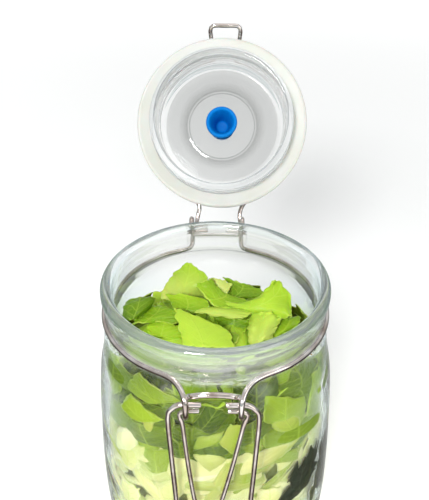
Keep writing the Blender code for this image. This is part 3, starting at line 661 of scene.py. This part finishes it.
# painted shade: darker copies of the leaf tones for the leaves pressed on the glass, with more tones for the
# shreds, the cores, the gaps and the dark leaves
shadedWallTones = {
    "bright": (0.33, 0.45, 0.025), "lime": (0.26, 0.37, 0.022), "mid": (0.145, 0.225, 0.008),
    "deep": (0.06, 0.11, 0.003), "dark": (0.02, 0.042, 0.002), "soft": (0.32, 0.40, 0.055),
    "lemon": (0.42, 0.46, 0.10), "pale": (0.60, 0.62, 0.22), "cream": (0.88, 0.82, 0.42),
    "white": (0.97, 0.91, 0.62), "night": (0.022, 0.028, 0.014),
}


def blend(first, second, share):
    return tuple(a + (b - a) * share for a, b in zip(first, second))


def ripple(u, v, scale, shift, layer):
    # a value between about -1 and 1 that changes smoothly over a leaf, its own for each shift and layer
    return noise.noise(Vector((u * scale + shift, v * scale, layer)))


def cloudyTint(first, second, scale, shift, layer):
    # drifts between two tones
    return lambda u, v: blend(first, second, 0.5 + 0.5 * ripple(u, v, scale, shift, layer))


def sheet(pointAt, tintAt, columns, rows):
    # one cut leaf: a grid bent over pointAt, with its own tint
    bpy.ops.mesh.primitive_grid_add(x_subdivisions=columns, y_subdivisions=rows, size=1)
    leaf = bpy.context.object
    mesh = leaf.data
    tints = mesh.color_attributes.new("tint", "FLOAT_COLOR", "POINT")
    for vertex, tint in zip(mesh.vertices, tints.data):
        u, v = vertex.co.x + 0.5, vertex.co.y + 0.5
        tint.color = (*tintAt(u, v), 1.0)
        vertex.co = Vector(pointAt(u, v)) * mm
    return leaf


def gathered(name, leaves, thickness):
    # joins the leaves of one kind, gives them their thickness and rounds them
    pick(leaves[0])
    for leaf in leaves:
        leaf.select_set(True)
    bpy.ops.object.join()
    piece = bpy.context.object
    piece.name = piece.data.name = name
    solid = piece.modifiers.new("thickness", "SOLIDIFY")
    solid.thickness, solid.offset = thickness * mm, 0.0
    solid.edge_crease_rim = 0.35
    bpy.ops.object.modifier_apply(modifier="thickness")
    rounded = piece.modifiers.new("rounded", "SUBSURF")
    rounded.levels = rounded.render_levels = 1
    bpy.ops.object.modifier_apply(modifier="rounded")
    bpy.ops.object.mode_set(mode="EDIT")
    bpy.ops.mesh.select_all(action="SELECT")
    bpy.ops.mesh.normals_make_consistent(inside=False)
    bpy.ops.object.mode_set(mode="OBJECT")
    bpy.ops.object.shade_smooth()
    print(name, len(piece.data.polygons) * 2, "triangles")
    return piece


def throughNine(grid, u, v):
    # a smooth surface through three rows of three points
    def weights(t):
        return (2 * (t - 0.5) * (t - 1), -4 * t * (t - 1), 2 * t * (t - 0.5))

    total = Vector((0, 0, 0))
    for row, rowShare in zip(grid, weights(v)):
        for point, share in zip(row, weights(u)):
            total += Vector(point) * rowShare * share
    return total


# loose leaves on top: tones from front to back, ripple, and three rows of three points (x, y, z from the rim)
topLeaves = {
    "paleCurled": ("lemon", "lime", 0.8,
        (-27.8, 18.6, -27), (-17.6, 12.2, -24), (-4.2, 12.8, -22),
        (-24.2, 23.8, -20), (-13.5, 14.1, -15), (-3.6, 13, -16),
        (-18, 24.9, -14), (-12.2, 23.4, -9), (-4.6, 15.9, -12)),
    "foldedLime": ("lime", "mid", 0.4,
        (7.9, -2.6, -21), (-4.5, 4.6, -17), (-10.6, 15, -15),
        (13.6, -0.4, -21), (2.7, 7.5, -18), (-6, 12.5, -12),
        (19.8, 6.9, -20), (4.2, 10.8, -18), (-1.7, 15.9, -12)),
    "curlyRight": ("bright", "lime", 1.3,
        (1.3, 6.4, -19), (10.8, -0.1, -20), (17.4, -1.9, -21),
        (16.7, 4.3, -18), (24.9, 0.1, -16), (33.2, -4.9, -21),
        (27.4, 10.2, -11), (32.8, 10.8, -12), (35.3, -1.4, -19)),
    "paleScrap": ("pale", "lemon", 0.3,
        (-1.7, 17.9, -14), (1.3, 14.4, -17), (5.7, 10.5, -19),
        (0.8, 18.4, -15), (3.8, 15.2, -17), (6.7, 13.3, -18),
        (4.3, 18.1, -16), (6.8, 17.8, -17), (8.8, 16.9, -17)),
    "darkBack": ("deep", "mid", 0.4,
        (5.3, 15.3, -22), (8.7, 11.2, -22), (15.2, 12.8, -22),
        (7.4, 18.5, -20), (14.3, 15.5, -19), (22.6, 12.3, -21),
        (3.4, 24.5, -18), (12.4, 19.2, -18), (22.8, 15.5, -19)),
    "longShred": ("lemon", "lime", 0.3,
        (-9.2, -2.9, -19), (0.3, -5.9, -19), (12.9, -6.9, -20),
        (-7.7, -2.6, -18), (2.6, -4.7, -17), (15.2, -5.9, -19),
        (-4.5, 0.2, -19), (6, -1.1, -18), (17.3, -2.4, -20)),
    "midGreen": ("mid", "lime", 0.4,
        (-20.7, 5.3, -23), (-13, -0.9, -20), (-4.5, -1.6, -20),
        (-22.4, 9.6, -22), (-12.2, 2.7, -18), (-3, 0.2, -19),
        (-25, 13.1, -21), (-14.3, 7.8, -17), (-3.6, 4.3, -18)),
    "bigBright": ("bright", "bright", 0.2,
        (-13.9, -23.9, -22), (-4.2, -25.7, -21), (7.7, -24.6, -22),
        (-16.7, -13.3, -20), (-7.4, -16.4, -18), (6.2, -14.9, -21),
        (-19.6, -1.1, -18), (-13.7, -5.4, -17), (-2.5, -11, -19)),
    "rolledLeft": ("deep", "deep", 0.5,
        (-45.3, 5.9, -31), (-39.5, 1.8, -27), (-34.6, 5.9, -26),
        (-45.7, 8, -27), (-37, 4, -22), (-30.9, 9.7, -24),
        (-45.1, 14.5, -27), (-36.5, 12.8, -22), (-30.1, 12.5, -23)),
    "leftUnder": ("mid", "mid", 0.8,
        (-40.5, 2.8, -31), (-33.3, -1.7, -26), (-18.1, -5.7, -24),
        (-38.3, 6.5, -29), (-27.6, 0.6, -23), (-17.8, -1.4, -22),
        (-33.5, 9.6, -27), (-25.6, 6.8, -23), (-19.9, 1.7, -22)),
    "leftBright": ("lime", "lime", 0.5,
        (-34.3, -3.6, -30), (-24.5, -11, -28), (-13.6, -14, -26),
        (-32.4, -2.3, -28), (-23.7, -8.1, -25), (-15.5, -10.7, -24),
        (-30.6, -0.5, -27), (-23.4, -4.2, -24), (-16.6, -8.6, -24)),
    "middleDark": ("deep", "mid", 1.0,
        (4.1, -8, -30), (11.6, -7.7, -29), (19.4, -5.5, -29),
        (1.2, -2.8, -27), (9.8, -5.2, -25), (19.2, -5.2, -25),
        (-1.6, -0.2, -23), (9.7, -3.7, -22), (17.3, -3.9, -23)),
    "raggedRight": ("lemon", "bright", 1.2,
        (15.8, -17, -27), (20.2, -18.6, -25), (26.3, -12.2, -27),
        (15.2, -10, -24), (21.3, -13.3, -20), (29.3, -7.6, -23),
        (16.4, -2.9, -22), (24.6, -4.2, -18), (31, -4.4, -22)),
    "rightLow": ("lime", "mid", 0.6,
        (24.4, -9, -31), (30.8, -6.6, -30), (39.8, 2.9, -33),
        (29, -3.8, -28), (34.8, -2.8, -27), (41.1, 3.9, -30),
        (32.1, -0.2, -26), (36.9, 3.3, -27), (42.8, 8.2, -31)),
    "frontLowRight": ("mid", "lime", 0.4,
        (6.7, -18.4, -30), (14, -18.4, -30), (21.7, -14.8, -32),
        (6.8, -14.1, -29), (14.1, -14.5, -28), (20, -10.8, -30),
        (6.9, -9.1, -29), (13.4, -9.6, -28), (18.3, -7, -29)),
    "leftTip": ("bright", "bright", 0.3,
        (-25, -13.2, -31), (-21.1, -14.3, -30), (-16.4, -15.4, -29),
        (-24.1, -11.5, -30), (-20.6, -13.1, -28), (-17.3, -14.5, -28),
        (-22.3, -9.9, -29), (-20.3, -10, -27), (-18.4, -12.4, -28)),
}


def bigLeaf(number, points, nearTone, farTone, rippled):
    points = [Vector((x, y, z + jar["height"])) for x, y, z in points]
    grid = (points[:3], points[3:6], points[6:])
    across = grid[1][2] - grid[1][0]
    along = grid[2][1] - grid[0][1]
    normal = across.cross(along).normalized()
    shift = number * 7.3

    def pointAt(u, v):
        edge = max(abs(u - 0.5), abs(v - 0.5)) * 2
        wave = ripple(u, v, 3.2, shift, 1.0)
        ruffle = ripple(u, v, 9.0, 0.0, shift) * edge ** 3
        ragged = noise.noise(Vector((u * 7.0, v * 7.0 + shift, 5.0))) * 3.0
        ragged += noise.noise(Vector((u * 19.0, v * 19.0 + shift, 5.0))) * 1.0
        inPlane = (across.normalized() * (u - 0.5) + along.normalized() * (v - 0.5)) * ragged * edge ** 4
        lift = wave * rippled * (0.5 + 1.3 * edge) + ruffle * (0.8 + 1.5 * rippled)
        return throughNine(grid, u, v) + normal * lift + inPlane

    def tintAt(u, v):
        cloud = 0.5 + 0.5 * ripple(u, v, 2, shift, 9.0)
        return blend(blend(tones[nearTone], tones[farTone], v), tones["mid"], 0.6 * cloud * cloud)

    return sheet(pointAt, tintAt, 20, 20)


cuttings = {"count": 64, "reach": (39.0, 5.0), "lift": (-2.0, 1.5), "lean": (0.5, 0.3), "wide": (9, 17),
            "deep": (13, 24), "curl": (-0.7, 0.9), "corner": (0.7, 1.15), "highest": 13.5, "wallGap": 1.2,
            "tones": ("mid", "lime", "deep", "bright", "lime")}


def cutting(draw, shift):
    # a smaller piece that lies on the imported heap
    angle = draw.uniform(0, 2 * math.pi)
    middle, less = cuttings["reach"]
    reach = math.sqrt(draw.uniform(0.0, 1.0)) * (middle - less * math.sin(angle))
    x, y = reach * math.cos(angle), reach * math.sin(angle)
    high = moundHeight(x, y) + draw.uniform(*cuttings["lift"])
    lean = cuttings["lean"][0] - cuttings["lean"][1] * reach / 44.0
    turn = Matrix.Rotation(draw.uniform(0, 6.3), 3, "Z") @ Matrix.Rotation(draw.uniform(-lean, lean), 3, "X")
    turn = turn @ Matrix.Rotation(draw.uniform(-lean, lean), 3, "Y")
    wide, deep, curl = (draw.uniform(*cuttings[key]) for key in ("wide", "deep", "curl"))
    tone = blend(tones[draw.choice(cuttings["tones"])], tones["lime"], draw.uniform(0, 0.6))
    corners = [draw.uniform(*cuttings["corner"]) for _ in range(4)]

    def pointAt(u, v):
        s, t = u * 2 - 1, v * 2 - 1
        stretch = corners[0] * (1 - u) * (1 - v) + corners[1] * u * (1 - v)
        stretch += corners[2] * (1 - u) * v
        stretch += corners[3] * u * v
        stretch += 0.22 * noise.noise(Vector((s * 3.0, t * 3.0 + shift, 4.0))) * max(abs(s), abs(t)) ** 3
        lift = 2.6 * curl * s * s + 1.2 * ripple(s, t, 1.4, shift, 0)
        point = Vector((x, y, high)) + turn @ Vector((s * wide / 2 * stretch, t * deep / 2 * stretch, lift))
        wall = innerRadius(jar["height"] - point.z) - cuttings["wallGap"]
        over = max(1, Vector((point.x, point.y, 0)).length / wall)
        return (point.x / over, point.y / over, min(point.z, jar["height"] - cuttings["highest"]))

    def tintAt(u, v):
        return blend(tone, tones["lemon"], 0.25 * max(0.0, ripple(u, v, 2, shift, 3)))

    return sheet(pointAt, tintAt, 7, 8)


def makeTopLeaves():
    draw = random.Random(31)
    leaves = []
    for number, (nearTone, farTone, rippled, *points) in enumerate(topLeaves.values()):
        leaves.append(bigLeaf(number, points, nearTone, farTone, rippled))
    for i in range(cuttings["count"]):
        leaves.append(cutting(draw, i * 3.1))
    piece = gathered("topLeaves", leaves, 1.0)
    return finished(piece, greenLeaf, "green_leaf", "jar", "cabbage_leaves")


def moundHeight(x, y):
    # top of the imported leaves, highest in the middle and lower at the back wall
    middle, frontWall, backWall = 25.5, 34.0, 43.0
    share = min(1.0, math.hypot(x, y) / 47.0)
    back = 0.5 + 0.5 * (y / max(1.0, math.hypot(x, y)))
    edge = frontWall + (backWall - frontWall) * back
    return jar["height"] - (middle + (edge - middle) * share ** 1.6)


# leaves pressed on the glass: four corners (degrees round the jar, drop), tone, second tone, layer
wallLeaves = {
    "brightLeft": (((-129.5, 49.4), (-113.8, 42), (-135.9, 37.5), (-142, 49)), "bright", "lime", 0),
    "brightLeftTip": (((-124.6, 50.5), (-120.7, 51.2), (-119.6, 44.7), (-126, 46)), "lemon", "lemon", 0),
    "upperLeft": (((-124.1, 37.4), (-106, 30), (-132, 25.5), (-142, 36)), "lime", "mid", 1),
    "lowLeftGreen": (((-135.3, 62.5), (-104.9, 55), (-113.7, 46), (-141, 54)), "deep", "mid", 1),
    "leftVertical": (((-152, 50.5), (-143, 41.6), (-150, 24), (-158, 30)), "mid", "lime", 1),
    "leftLow": (((-164, 66), (-146, 62), (-148, 44), (-168, 40)), "mid", "deep", 2),
    "centreDark": (((-101.2, 41.5), (-91.6, 45.5), (-83, 35.1), (-94.2, 30)), "dark", "deep", 2),
    "centreStrip": (((-101, 54.8), (-87.5, 48.8), (-86, 44), (-98, 47)), "lime", "soft", 1),
    "centreLime": (((-82.3, 56), (-76, 41), (-83.5, 40), (-88.5, 49)), "lime", "lemon", 0),
    "centreLow": (((-93.9, 57.9), (-83.3, 55.9), (-84.7, 51.2), (-96.8, 52.5)), "deep", "deep", 2),
    "rightBig": (((-67, 43), (-43.8, 54.9), (-40.4, 42), (-66.4, 28.7)), "lime", "lime", 1),
    "rightLower": (((-58.7, 53.5), (-43, 56), (-47, 46), (-65.6, 41.5)), "lime", "lemon", 0),
    "rightEdge": (((-43, 56), (-22, 58), (-24, 36), (-33, 34)), "mid", "lime", 1),
    "rightStrip": (((-68, 57.5), (-26, 66), (-25, 56), (-67.5, 47.5)), "lime", "mid", 0),
    "rightPale": (((-68.2, 64.4), (-47.3, 75.1), (-47.5, 67.4), (-68.2, 57.5)), "soft", "lime", 1),
    "paleLeft": (((-143, 88), (-127.1, 80.6), (-124.1, 62.3), (-143.5, 68)), "cream", "pale", 0),
    "paleLeftLow": (((-141.8, 110), (-128, 106), (-128.1, 91.6), (-141.8, 93.5)), "cream", "cream", 0),
    "softGreen": (((-125.2, 81.9), (-107.3, 70), (-109.8, 56.1), (-126.7, 64)), "soft", "lime", 1),
    "centrePale": (((-92.6, 66), (-84.7, 58.3), (-90.2, 55), (-101, 56.4)), "lemon", "pale", 1),
    "longPale": (((-97.3, 88.1), (-90.1, 86.4), (-79.9, 57.2), (-86.8, 62)), "pale", "lemon", 0),
    "rightLime": (((-82.2, 83.3), (-71.7, 73.2), (-74.7, 61.3), (-81.4, 62)), "lime", "lemon", 1),
    "rightCream": (((-70.4, 96.1), (-57.8, 95.2), (-56.3, 86.2), (-71.5, 80.5)), "pale", "cream", 0),
}
deepest = 159.0  # the leaves end just over the floor


def wallSheet(corners, depthAt, tintAt, columns, rows, bow=0.0, shift=0.0, tear=0.10):
    # a leaf on the inside of the glass between four corners
    def pointAt(u, v):
        (a1, d1), (a2, d2), (a3, d3), (a4, d4) = corners
        edge = max(abs(u - 0.5), abs(v - 0.5)) * 2
        ragged = edge ** 4
        fine = 0.05 * ripple(u, v, 16, shift, 3.0)
        u += ragged * (tear * noise.noise(Vector((v * 5 + shift, 1.0, u))) + fine)
        v += ragged * (tear * noise.noise(Vector((u * 5 + shift, 7.0, v))) + fine)
        angle = (a1 * (1 - u) + a2 * u) * (1 - v) + (a4 * (1 - u) + a3 * u) * v
        drop = (d1 * (1 - u) + d2 * u) * (1 - v) + (d4 * (1 - u) + d3 * u) * v
        drop += bow * 4 * u * (1 - u)
        drop = min(deepest, drop)
        radius = innerRadius(drop) - depthAt(u, v)
        turn = math.radians(angle)
        return (radius * math.cos(turn), radius * math.sin(turn), jar["height"] - drop)

    return sheet(pointAt, tintAt, columns, rows)


def pressedDepth(layer, shift, curl):
    # how far a pressed leaf stands off the glass: its middle reaches just into it
    def depthAt(u, v):
        s, t = u * 2 - 1, v * 2 - 1
        wave = 0.5 + 0.5 * ripple(u, v, 2.2, shift, 2.0)
        return 0.12 + 0.32 * layer + curl * (s ** 4 + t ** 4) * 0.5 + 0.4 * wave * wave

    return depthAt


def slanted(angle, drop, wide, deep, lean, jitter):
    # the corners of a leaning leaf; each has its own jitter round the jar and down it
    corners = enumerate(((-1, 1), (1, 1), (1, -1), (-1, -1)))
    return [(angle + wide * right + jitter[2 * i], drop + deep * down + jitter[2 * i + 1] + lean * right)
            for i, (right, down) in corners]


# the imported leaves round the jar; each row has its drop and its number of leaves
packed = {"rows": ((35.0, 15), (46.0, 16), (58.0, 17)), "front": (215, 325), "highUntil": 50,
          "wide": (11, 22), "deep": (4.5, 8.5),
          # painted shade: the front leaves lie deeper and take darker tones than the back ones
          "frontHigh": ("deep", "mid", "dark", "deep", "dark"),
          "backHigh": ("mid", "lime", "deep", "bright", "mid"),
          "frontLow": ("mid", "deep", "soft", "mid", "lime"),
          "backLow": ("lime", "mid", "soft", "lemon", "mid")}


def packedLeaf(draw, row, i, level, count):
    angle = 360.0 * (i + 0.5 * (row % 2) + draw.uniform(-0.3, 0.3)) / count
    drop = level + draw.uniform(-3.0, 3.0)
    if row == 0:
        drop += 6.0 + 8.0 * math.sin(math.radians(angle))  # lower at the back
    wide, deep = draw.uniform(*packed["wide"]), draw.uniform(*packed["deep"])
    lean = draw.uniform(-4, 4) if row == 0 else draw.uniform(-7, 7)
    jitter = [draw.uniform(-2.5, 2.5) for _ in range(8)]
    front = packed["front"][0] < angle % 360 < packed["front"][1]
    mix = packed[("front" if front else "back") + ("High" if level < packed["highUntil"] else "Low")]
    tone, second = shadedWallTones[draw.choice(mix)], shadedWallTones[draw.choice(mix)]
    shift = row * 40 + i * 2.9
    depthAt = pressedDepth(3 + i % 3 if front else i % 3, shift, 2.4)
    corners = slanted(angle, drop, wide, deep, lean, jitter)
    return wallSheet(corners, depthAt, cloudyTint(tone, second, 1.6, shift, 6), 8, 7, 0, shift)


def placedLeaf(number, corners, tone, second, layer):
    shift = number * 5.7

    def tintAt(u, v):
        cloud = 0.5 + 0.5 * ripple(u, v, 1.8, shift, 4)
        return blend(shadedWallTones[tone], shadedWallTones[second], min(1.0, v * 0.7 + 0.4 * cloud))

    curl = 1.8 if number % 2 else 0.8
    return wallSheet(corners, pressedDepth(layer, shift, curl), tintAt, 12, 12, 0, shift)


def makeWallLeaves():
    draw = random.Random(12)
    leaves = [placedLeaf(number, *leaf) for number, leaf in enumerate(wallLeaves.values())]
    for row, (level, count) in enumerate(packed["rows"]):
        leaves += [packedLeaf(draw, row, i, level, count) for i in range(count)]
    piece = gathered("wallLeaves", leaves, 0.9)
    return finished(piece, greenLeaf, "green_leaf", "jar", "cabbage_leaves")


# pale shreds below them: broad chunks and narrow strips, set back behind the dark leaves
shreds = {"rows": 13, "count": 20, "first": 66.0, "last": 158.0, "chunkShare": 0.55, "darkAngles": (-75, -8),
          "darkDrops": (66, 124), "setBack": 3,
          "chunk": {"wide": (8, 16), "deep": (4.5, 9.5), "lean": (-9, 9), "grid": (7, 5)},
          "strip": {"wide": (14, 25), "deep": (1.8, 3.6), "lean": (-14, 14), "grid": (9, 3)},
          "mix": ("cream", "pale", "cream", "white", "lemon", "pale", "cream", "soft", "pale")}


def shred(draw, row, i):
    level = shreds["first"] + (shreds["last"] - shreds["first"]) * row / (shreds["rows"] - 1)
    angle = 360.0 * (i + 0.5 * (row % 2) + draw.uniform(-0.35, 0.35)) / shreds["count"]
    drop = level + draw.uniform(-3.5, 3.5)
    kind = shreds["chunk" if draw.random() < shreds["chunkShare"] else "strip"]
    wide, deep, lean = (draw.uniform(*kind[key]) for key in ("wide", "deep", "lean"))
    jitter = [draw.uniform(-1.8, 1.8) * (1 - k % 2) for k in range(8)]  # only round the jar
    tone, second = shadedWallTones[draw.choice(shreds["mix"])], shadedWallTones[draw.choice(shreds["mix"])]
    bow = draw.uniform(-4, 4)
    shift = row * 33 + i * 1.9
    layer = (i + row) % 4
    (left, right), (high, low) = shreds["darkAngles"], shreds["darkDrops"]
    if left < angle - 360 < right and high < drop < low:
        layer += shreds["setBack"]
    corners = slanted(angle, drop, wide, deep, lean, jitter)
    tintAt = cloudyTint(tone, second, 1.6, shift, 8)
    return wallSheet(corners, pressedDepth(layer, shift, 2.0), tintAt, *kind["grid"], bow, shift)


def makeShreds():
    draw = random.Random(77)
    leaves = [shred(draw, row, i) for row in range(shreds["rows"]) for i in range(shreds["count"])]
    piece = gathered("paleShreds", leaves, 1.3)
    return finished(piece, paleLeaf, "pale_shred", "jar", "cabbage_shreds")


def makeDarkLeaves():
    # node, corners as above, depth behind the glass
    settings = {
        "darkLeafLow": ("dark_leaf_1", ((-61.0, 101.0), (-33.0, 96.0), (-34.0, 74.0), (-52.0, 78.0)), 0.0),
        "darkLeafHigh": ("dark_leaf_2", ((-38.0, 116.0), (-15.5, 112.0), (-15.0, 76.0), (-29.0, 80.0)), 0.1),
    }
    for number, (name, (node, corners, depth)) in enumerate(settings.items()):
        def depthAt(u, v):
            return depth + 0.1 + 0.4 * ripple(u, v, 4, number, 2)

        leaf = wallSheet(corners, depthAt, lambda u, v: shadedWallTones["night"], 26, 26, 0, number * 9.0, 0.34)
        piece = gathered(name, [leaf], 0.9)
        finished(piece, darkLeaf, "dark_leaf", "jar", node)


def makeCores():
    # what the loose leaves lie on and hide; the upper core is painted dark as shade that shows in the gaps
    top = jar["height"]
    rim = moundHeight(0, 42.0)
    upper = [(0.0, top - 28.5), (16.0, top - 29.5), (30.0, top - 32.5), (40.0, rim - 3.0)]
    upper += [(innerRadius(drop) - 5.5, top - drop) for drop in (44.0, 49.0, 54.0)]
    upper += [(innerRadius(56.0) - 6.5, top - 55.8), (24.0, top - 56.0), (0.0, top - 56.0)]
    lower = [(0.0, top - 56.4), (28.0, top - 56.4), (innerRadius(57.0) - 6.0, top - 56.6)]
    lower += [(innerRadius(drop) - 5.0, top - drop) for drop in (60, 66, 76, 88, 100, 112, 124, 136, 148)]
    lower += [(innerRadius(158.0) - 4.0, top - 158.0), (38.0, 5.4), (0.0, 5.0)]
    for name, section, tone, second, paint, slotName, node in (
            ("leafCore", upper, "dark", "dark", greenLeaf, "green_leaf", "cabbage_leaves"),
            ("shredCore", lower, "soft", "pale", paleLeaf, "pale_shred", "cabbage_shreds")):
        smooth = [(p.x, p.y) for p in flowing([(r, z, 0) for r, z in section], 4.0)]
        piece = turnedPiece(name, smooth, 96)
        tints = piece.data.color_attributes.new("tint", "FLOAT_COLOR", "POINT")
        for vertex, tint in zip(piece.data.vertices, tints.data):
            bump = noise.noise(vertex.co * 110.0) + 0.5 * noise.noise(vertex.co * 260.0)
            reach = Vector((vertex.co.x, vertex.co.y, 0))
            if reach.length > 0.012:
                vertex.co += reach.normalized() * bump * 1.6 * mm
            share = min(1.0, max(0.0, 0.5 + bump))
            tint.color = (*blend(shadedWallTones[tone], shadedWallTones[second], share), 1.0)
        for corner in piece.data.uv_layers[0].data:
            corner.uv = (0.25, 0.36)
        finished(piece, paint, slotName, "jar", node)


makeTopLeaves()
makeWallLeaves()
makeShreds()
makeDarkLeaves()
makeCores()
print("cabbage made")

# painted light: the floor glows a little away from the shade point behind the jar, where the lid's shadow
# falls, and more at the horizon; the unlit spot keeps that shadow dark; distances are in metres
studio = {"floor": (0.95, 0.955, 0.95, 1), "floorSpot": (0.87, 0.88, 0.88, 1), "floorSize": 70.0,
          "shade": (0.10, 0.42, 0.0), "glow": 0.12, "glowReach": (0.08, 0.3), "horizonGlow": 0.5,
          "horizonReach": (0.3, 1.6), "sky": 0.62,
          "roomStops": ((0.0, (0.58, 0.70, 0.70)), (0.14, (0.64, 0.74, 0.75)), (0.30, (1.0, 1.03, 1.03)),
                        (0.62, (1.0, 1.0, 1.0))),
          "tableStops": ((0.0, (2.1, 2.1, 2.1)), (0.13, (2.1, 2.08, 2.06)), (0.24, (0.17, 0.13, 0.12)),
                         (0.6, (0.14, 0.12, 0.11)), (0.85, (0.5, 0.51, 0.51)))}
# place, target, size and watts
lamps = {"keyLight": ((-0.36, -1.0, 0.9), (0.0, 0.05, 0.15), (0.32, 0.32), 13.0),
         "fillLight": ((0.9, -0.7, 0.7), (0.0, 0.0, 0.15), (0.5, 0.9), 2.5),
         "topLight": ((0.1, 0.3, 1.3), (0.0, 0.02, 0.12), (1.0, 1.0), 2.5)}


def makeFloor():
    dropSelection()
    bpy.ops.mesh.primitive_plane_add(size=studio["floorSize"])
    floor = bpy.context.object
    floor.name = "studioFloor"
    paint = Paint("paleFloor", Roughness=0.7, Emission_Strength=1.0, Specular_IOR_Level=0.2)
    ends = {0: paint.place(), 1: studio["shade"]}
    away = paint.node("ShaderNodeVectorMath", {"operation": "DISTANCE"}, ends, 1)
    glow, horizon = ((studio[key],) * 3 + (1,) for key in ("glow", "horizonGlow"))
    near = paint.mixed(away.stretched(*studio["glowReach"]), (0, 0, 0, 1), glow)
    far = paint.mixed(away.stretched(*studio["horizonReach"]), near, horizon)
    paint.give("Emission Color", far)
    spots = paint.noise(paint.place(), 2.0, 2.0) * 0.1
    paint.give("Base Color", paint.mixed(spots, studio["floor"], studio["floorSpot"]))
    floor.data.materials.append(paint.material)
    floor.visible_glossy = False


def makeLamp(name, place, target, size, power):
    bpy.ops.object.light_add(type="AREA", location=place)
    lamp = bpy.context.object
    lamp.name = name
    lamp.data.shape = "RECTANGLE"
    lamp.data.size, lamp.data.size_y = size
    lamp.data.energy = power
    lamp.rotation_euler = (Vector(target) - Vector(place)).to_track_quat("-Z", "Y").to_euler()


def makeWorld():
    world = bpy.data.worlds.new("studioWorld")
    bpy.context.scene.world = world
    world.use_nodes = True
    world.node_tree.nodes.clear()
    maker = NodeMaker(world.node_tree)
    where = maker.node("ShaderNodeTexCoord", {}, {}, "Generated")
    back, up = maker.part(where, 1), maker.part(where, 2)
    # above the table a pale room, darker at the horizon; below it what wires and glass mirror
    above = maker.node("ShaderNodeValToRGB", {"stops": studio["roomStops"]}, {0: up})
    below = maker.node("ShaderNodeValToRGB", {"stops": studio["tableStops"]}, {0: back.stretched(-1.0, 1.0)})
    upwards = maker.node("ShaderNodeMath", {"operation": "GREATER_THAN"}, {0: up, 1: 0.0})
    sky = maker.node("ShaderNodeBackground", {}, {0: maker.mixed(upwards, below, above), 1: studio["sky"]})
    maker.node("ShaderNodeOutputWorld", {}, {0: sky})


def makeCamera():
    settings = {"place": (-0.00043, -0.2145, 0.31685), "down": 32.21, "reach": 569.5, "longSide": 500}
    data = bpy.data.cameras.new("studioCamera")
    camera = bpy.data.objects.new("studioCamera", data)
    bpy.context.scene.collection.objects.link(camera)
    camera.location = settings["place"]
    camera.rotation_euler = (math.radians(90 - settings["down"]), 0, 0)
    data.sensor_width = 36.0
    data.lens = 36.0 * settings["reach"] / settings["longSide"]
    data.clip_start, data.clip_end = 0.01, 60.0
    bpy.context.scene.camera = camera


makeFloor()
makeWorld()
for name, settings in lamps.items():
    makeLamp(name, *settings)
makeCamera()
look = bpy.context.scene.view_settings
look.view_transform = "Standard"
look.exposure = 0.0
print("floor, light and camera ready")
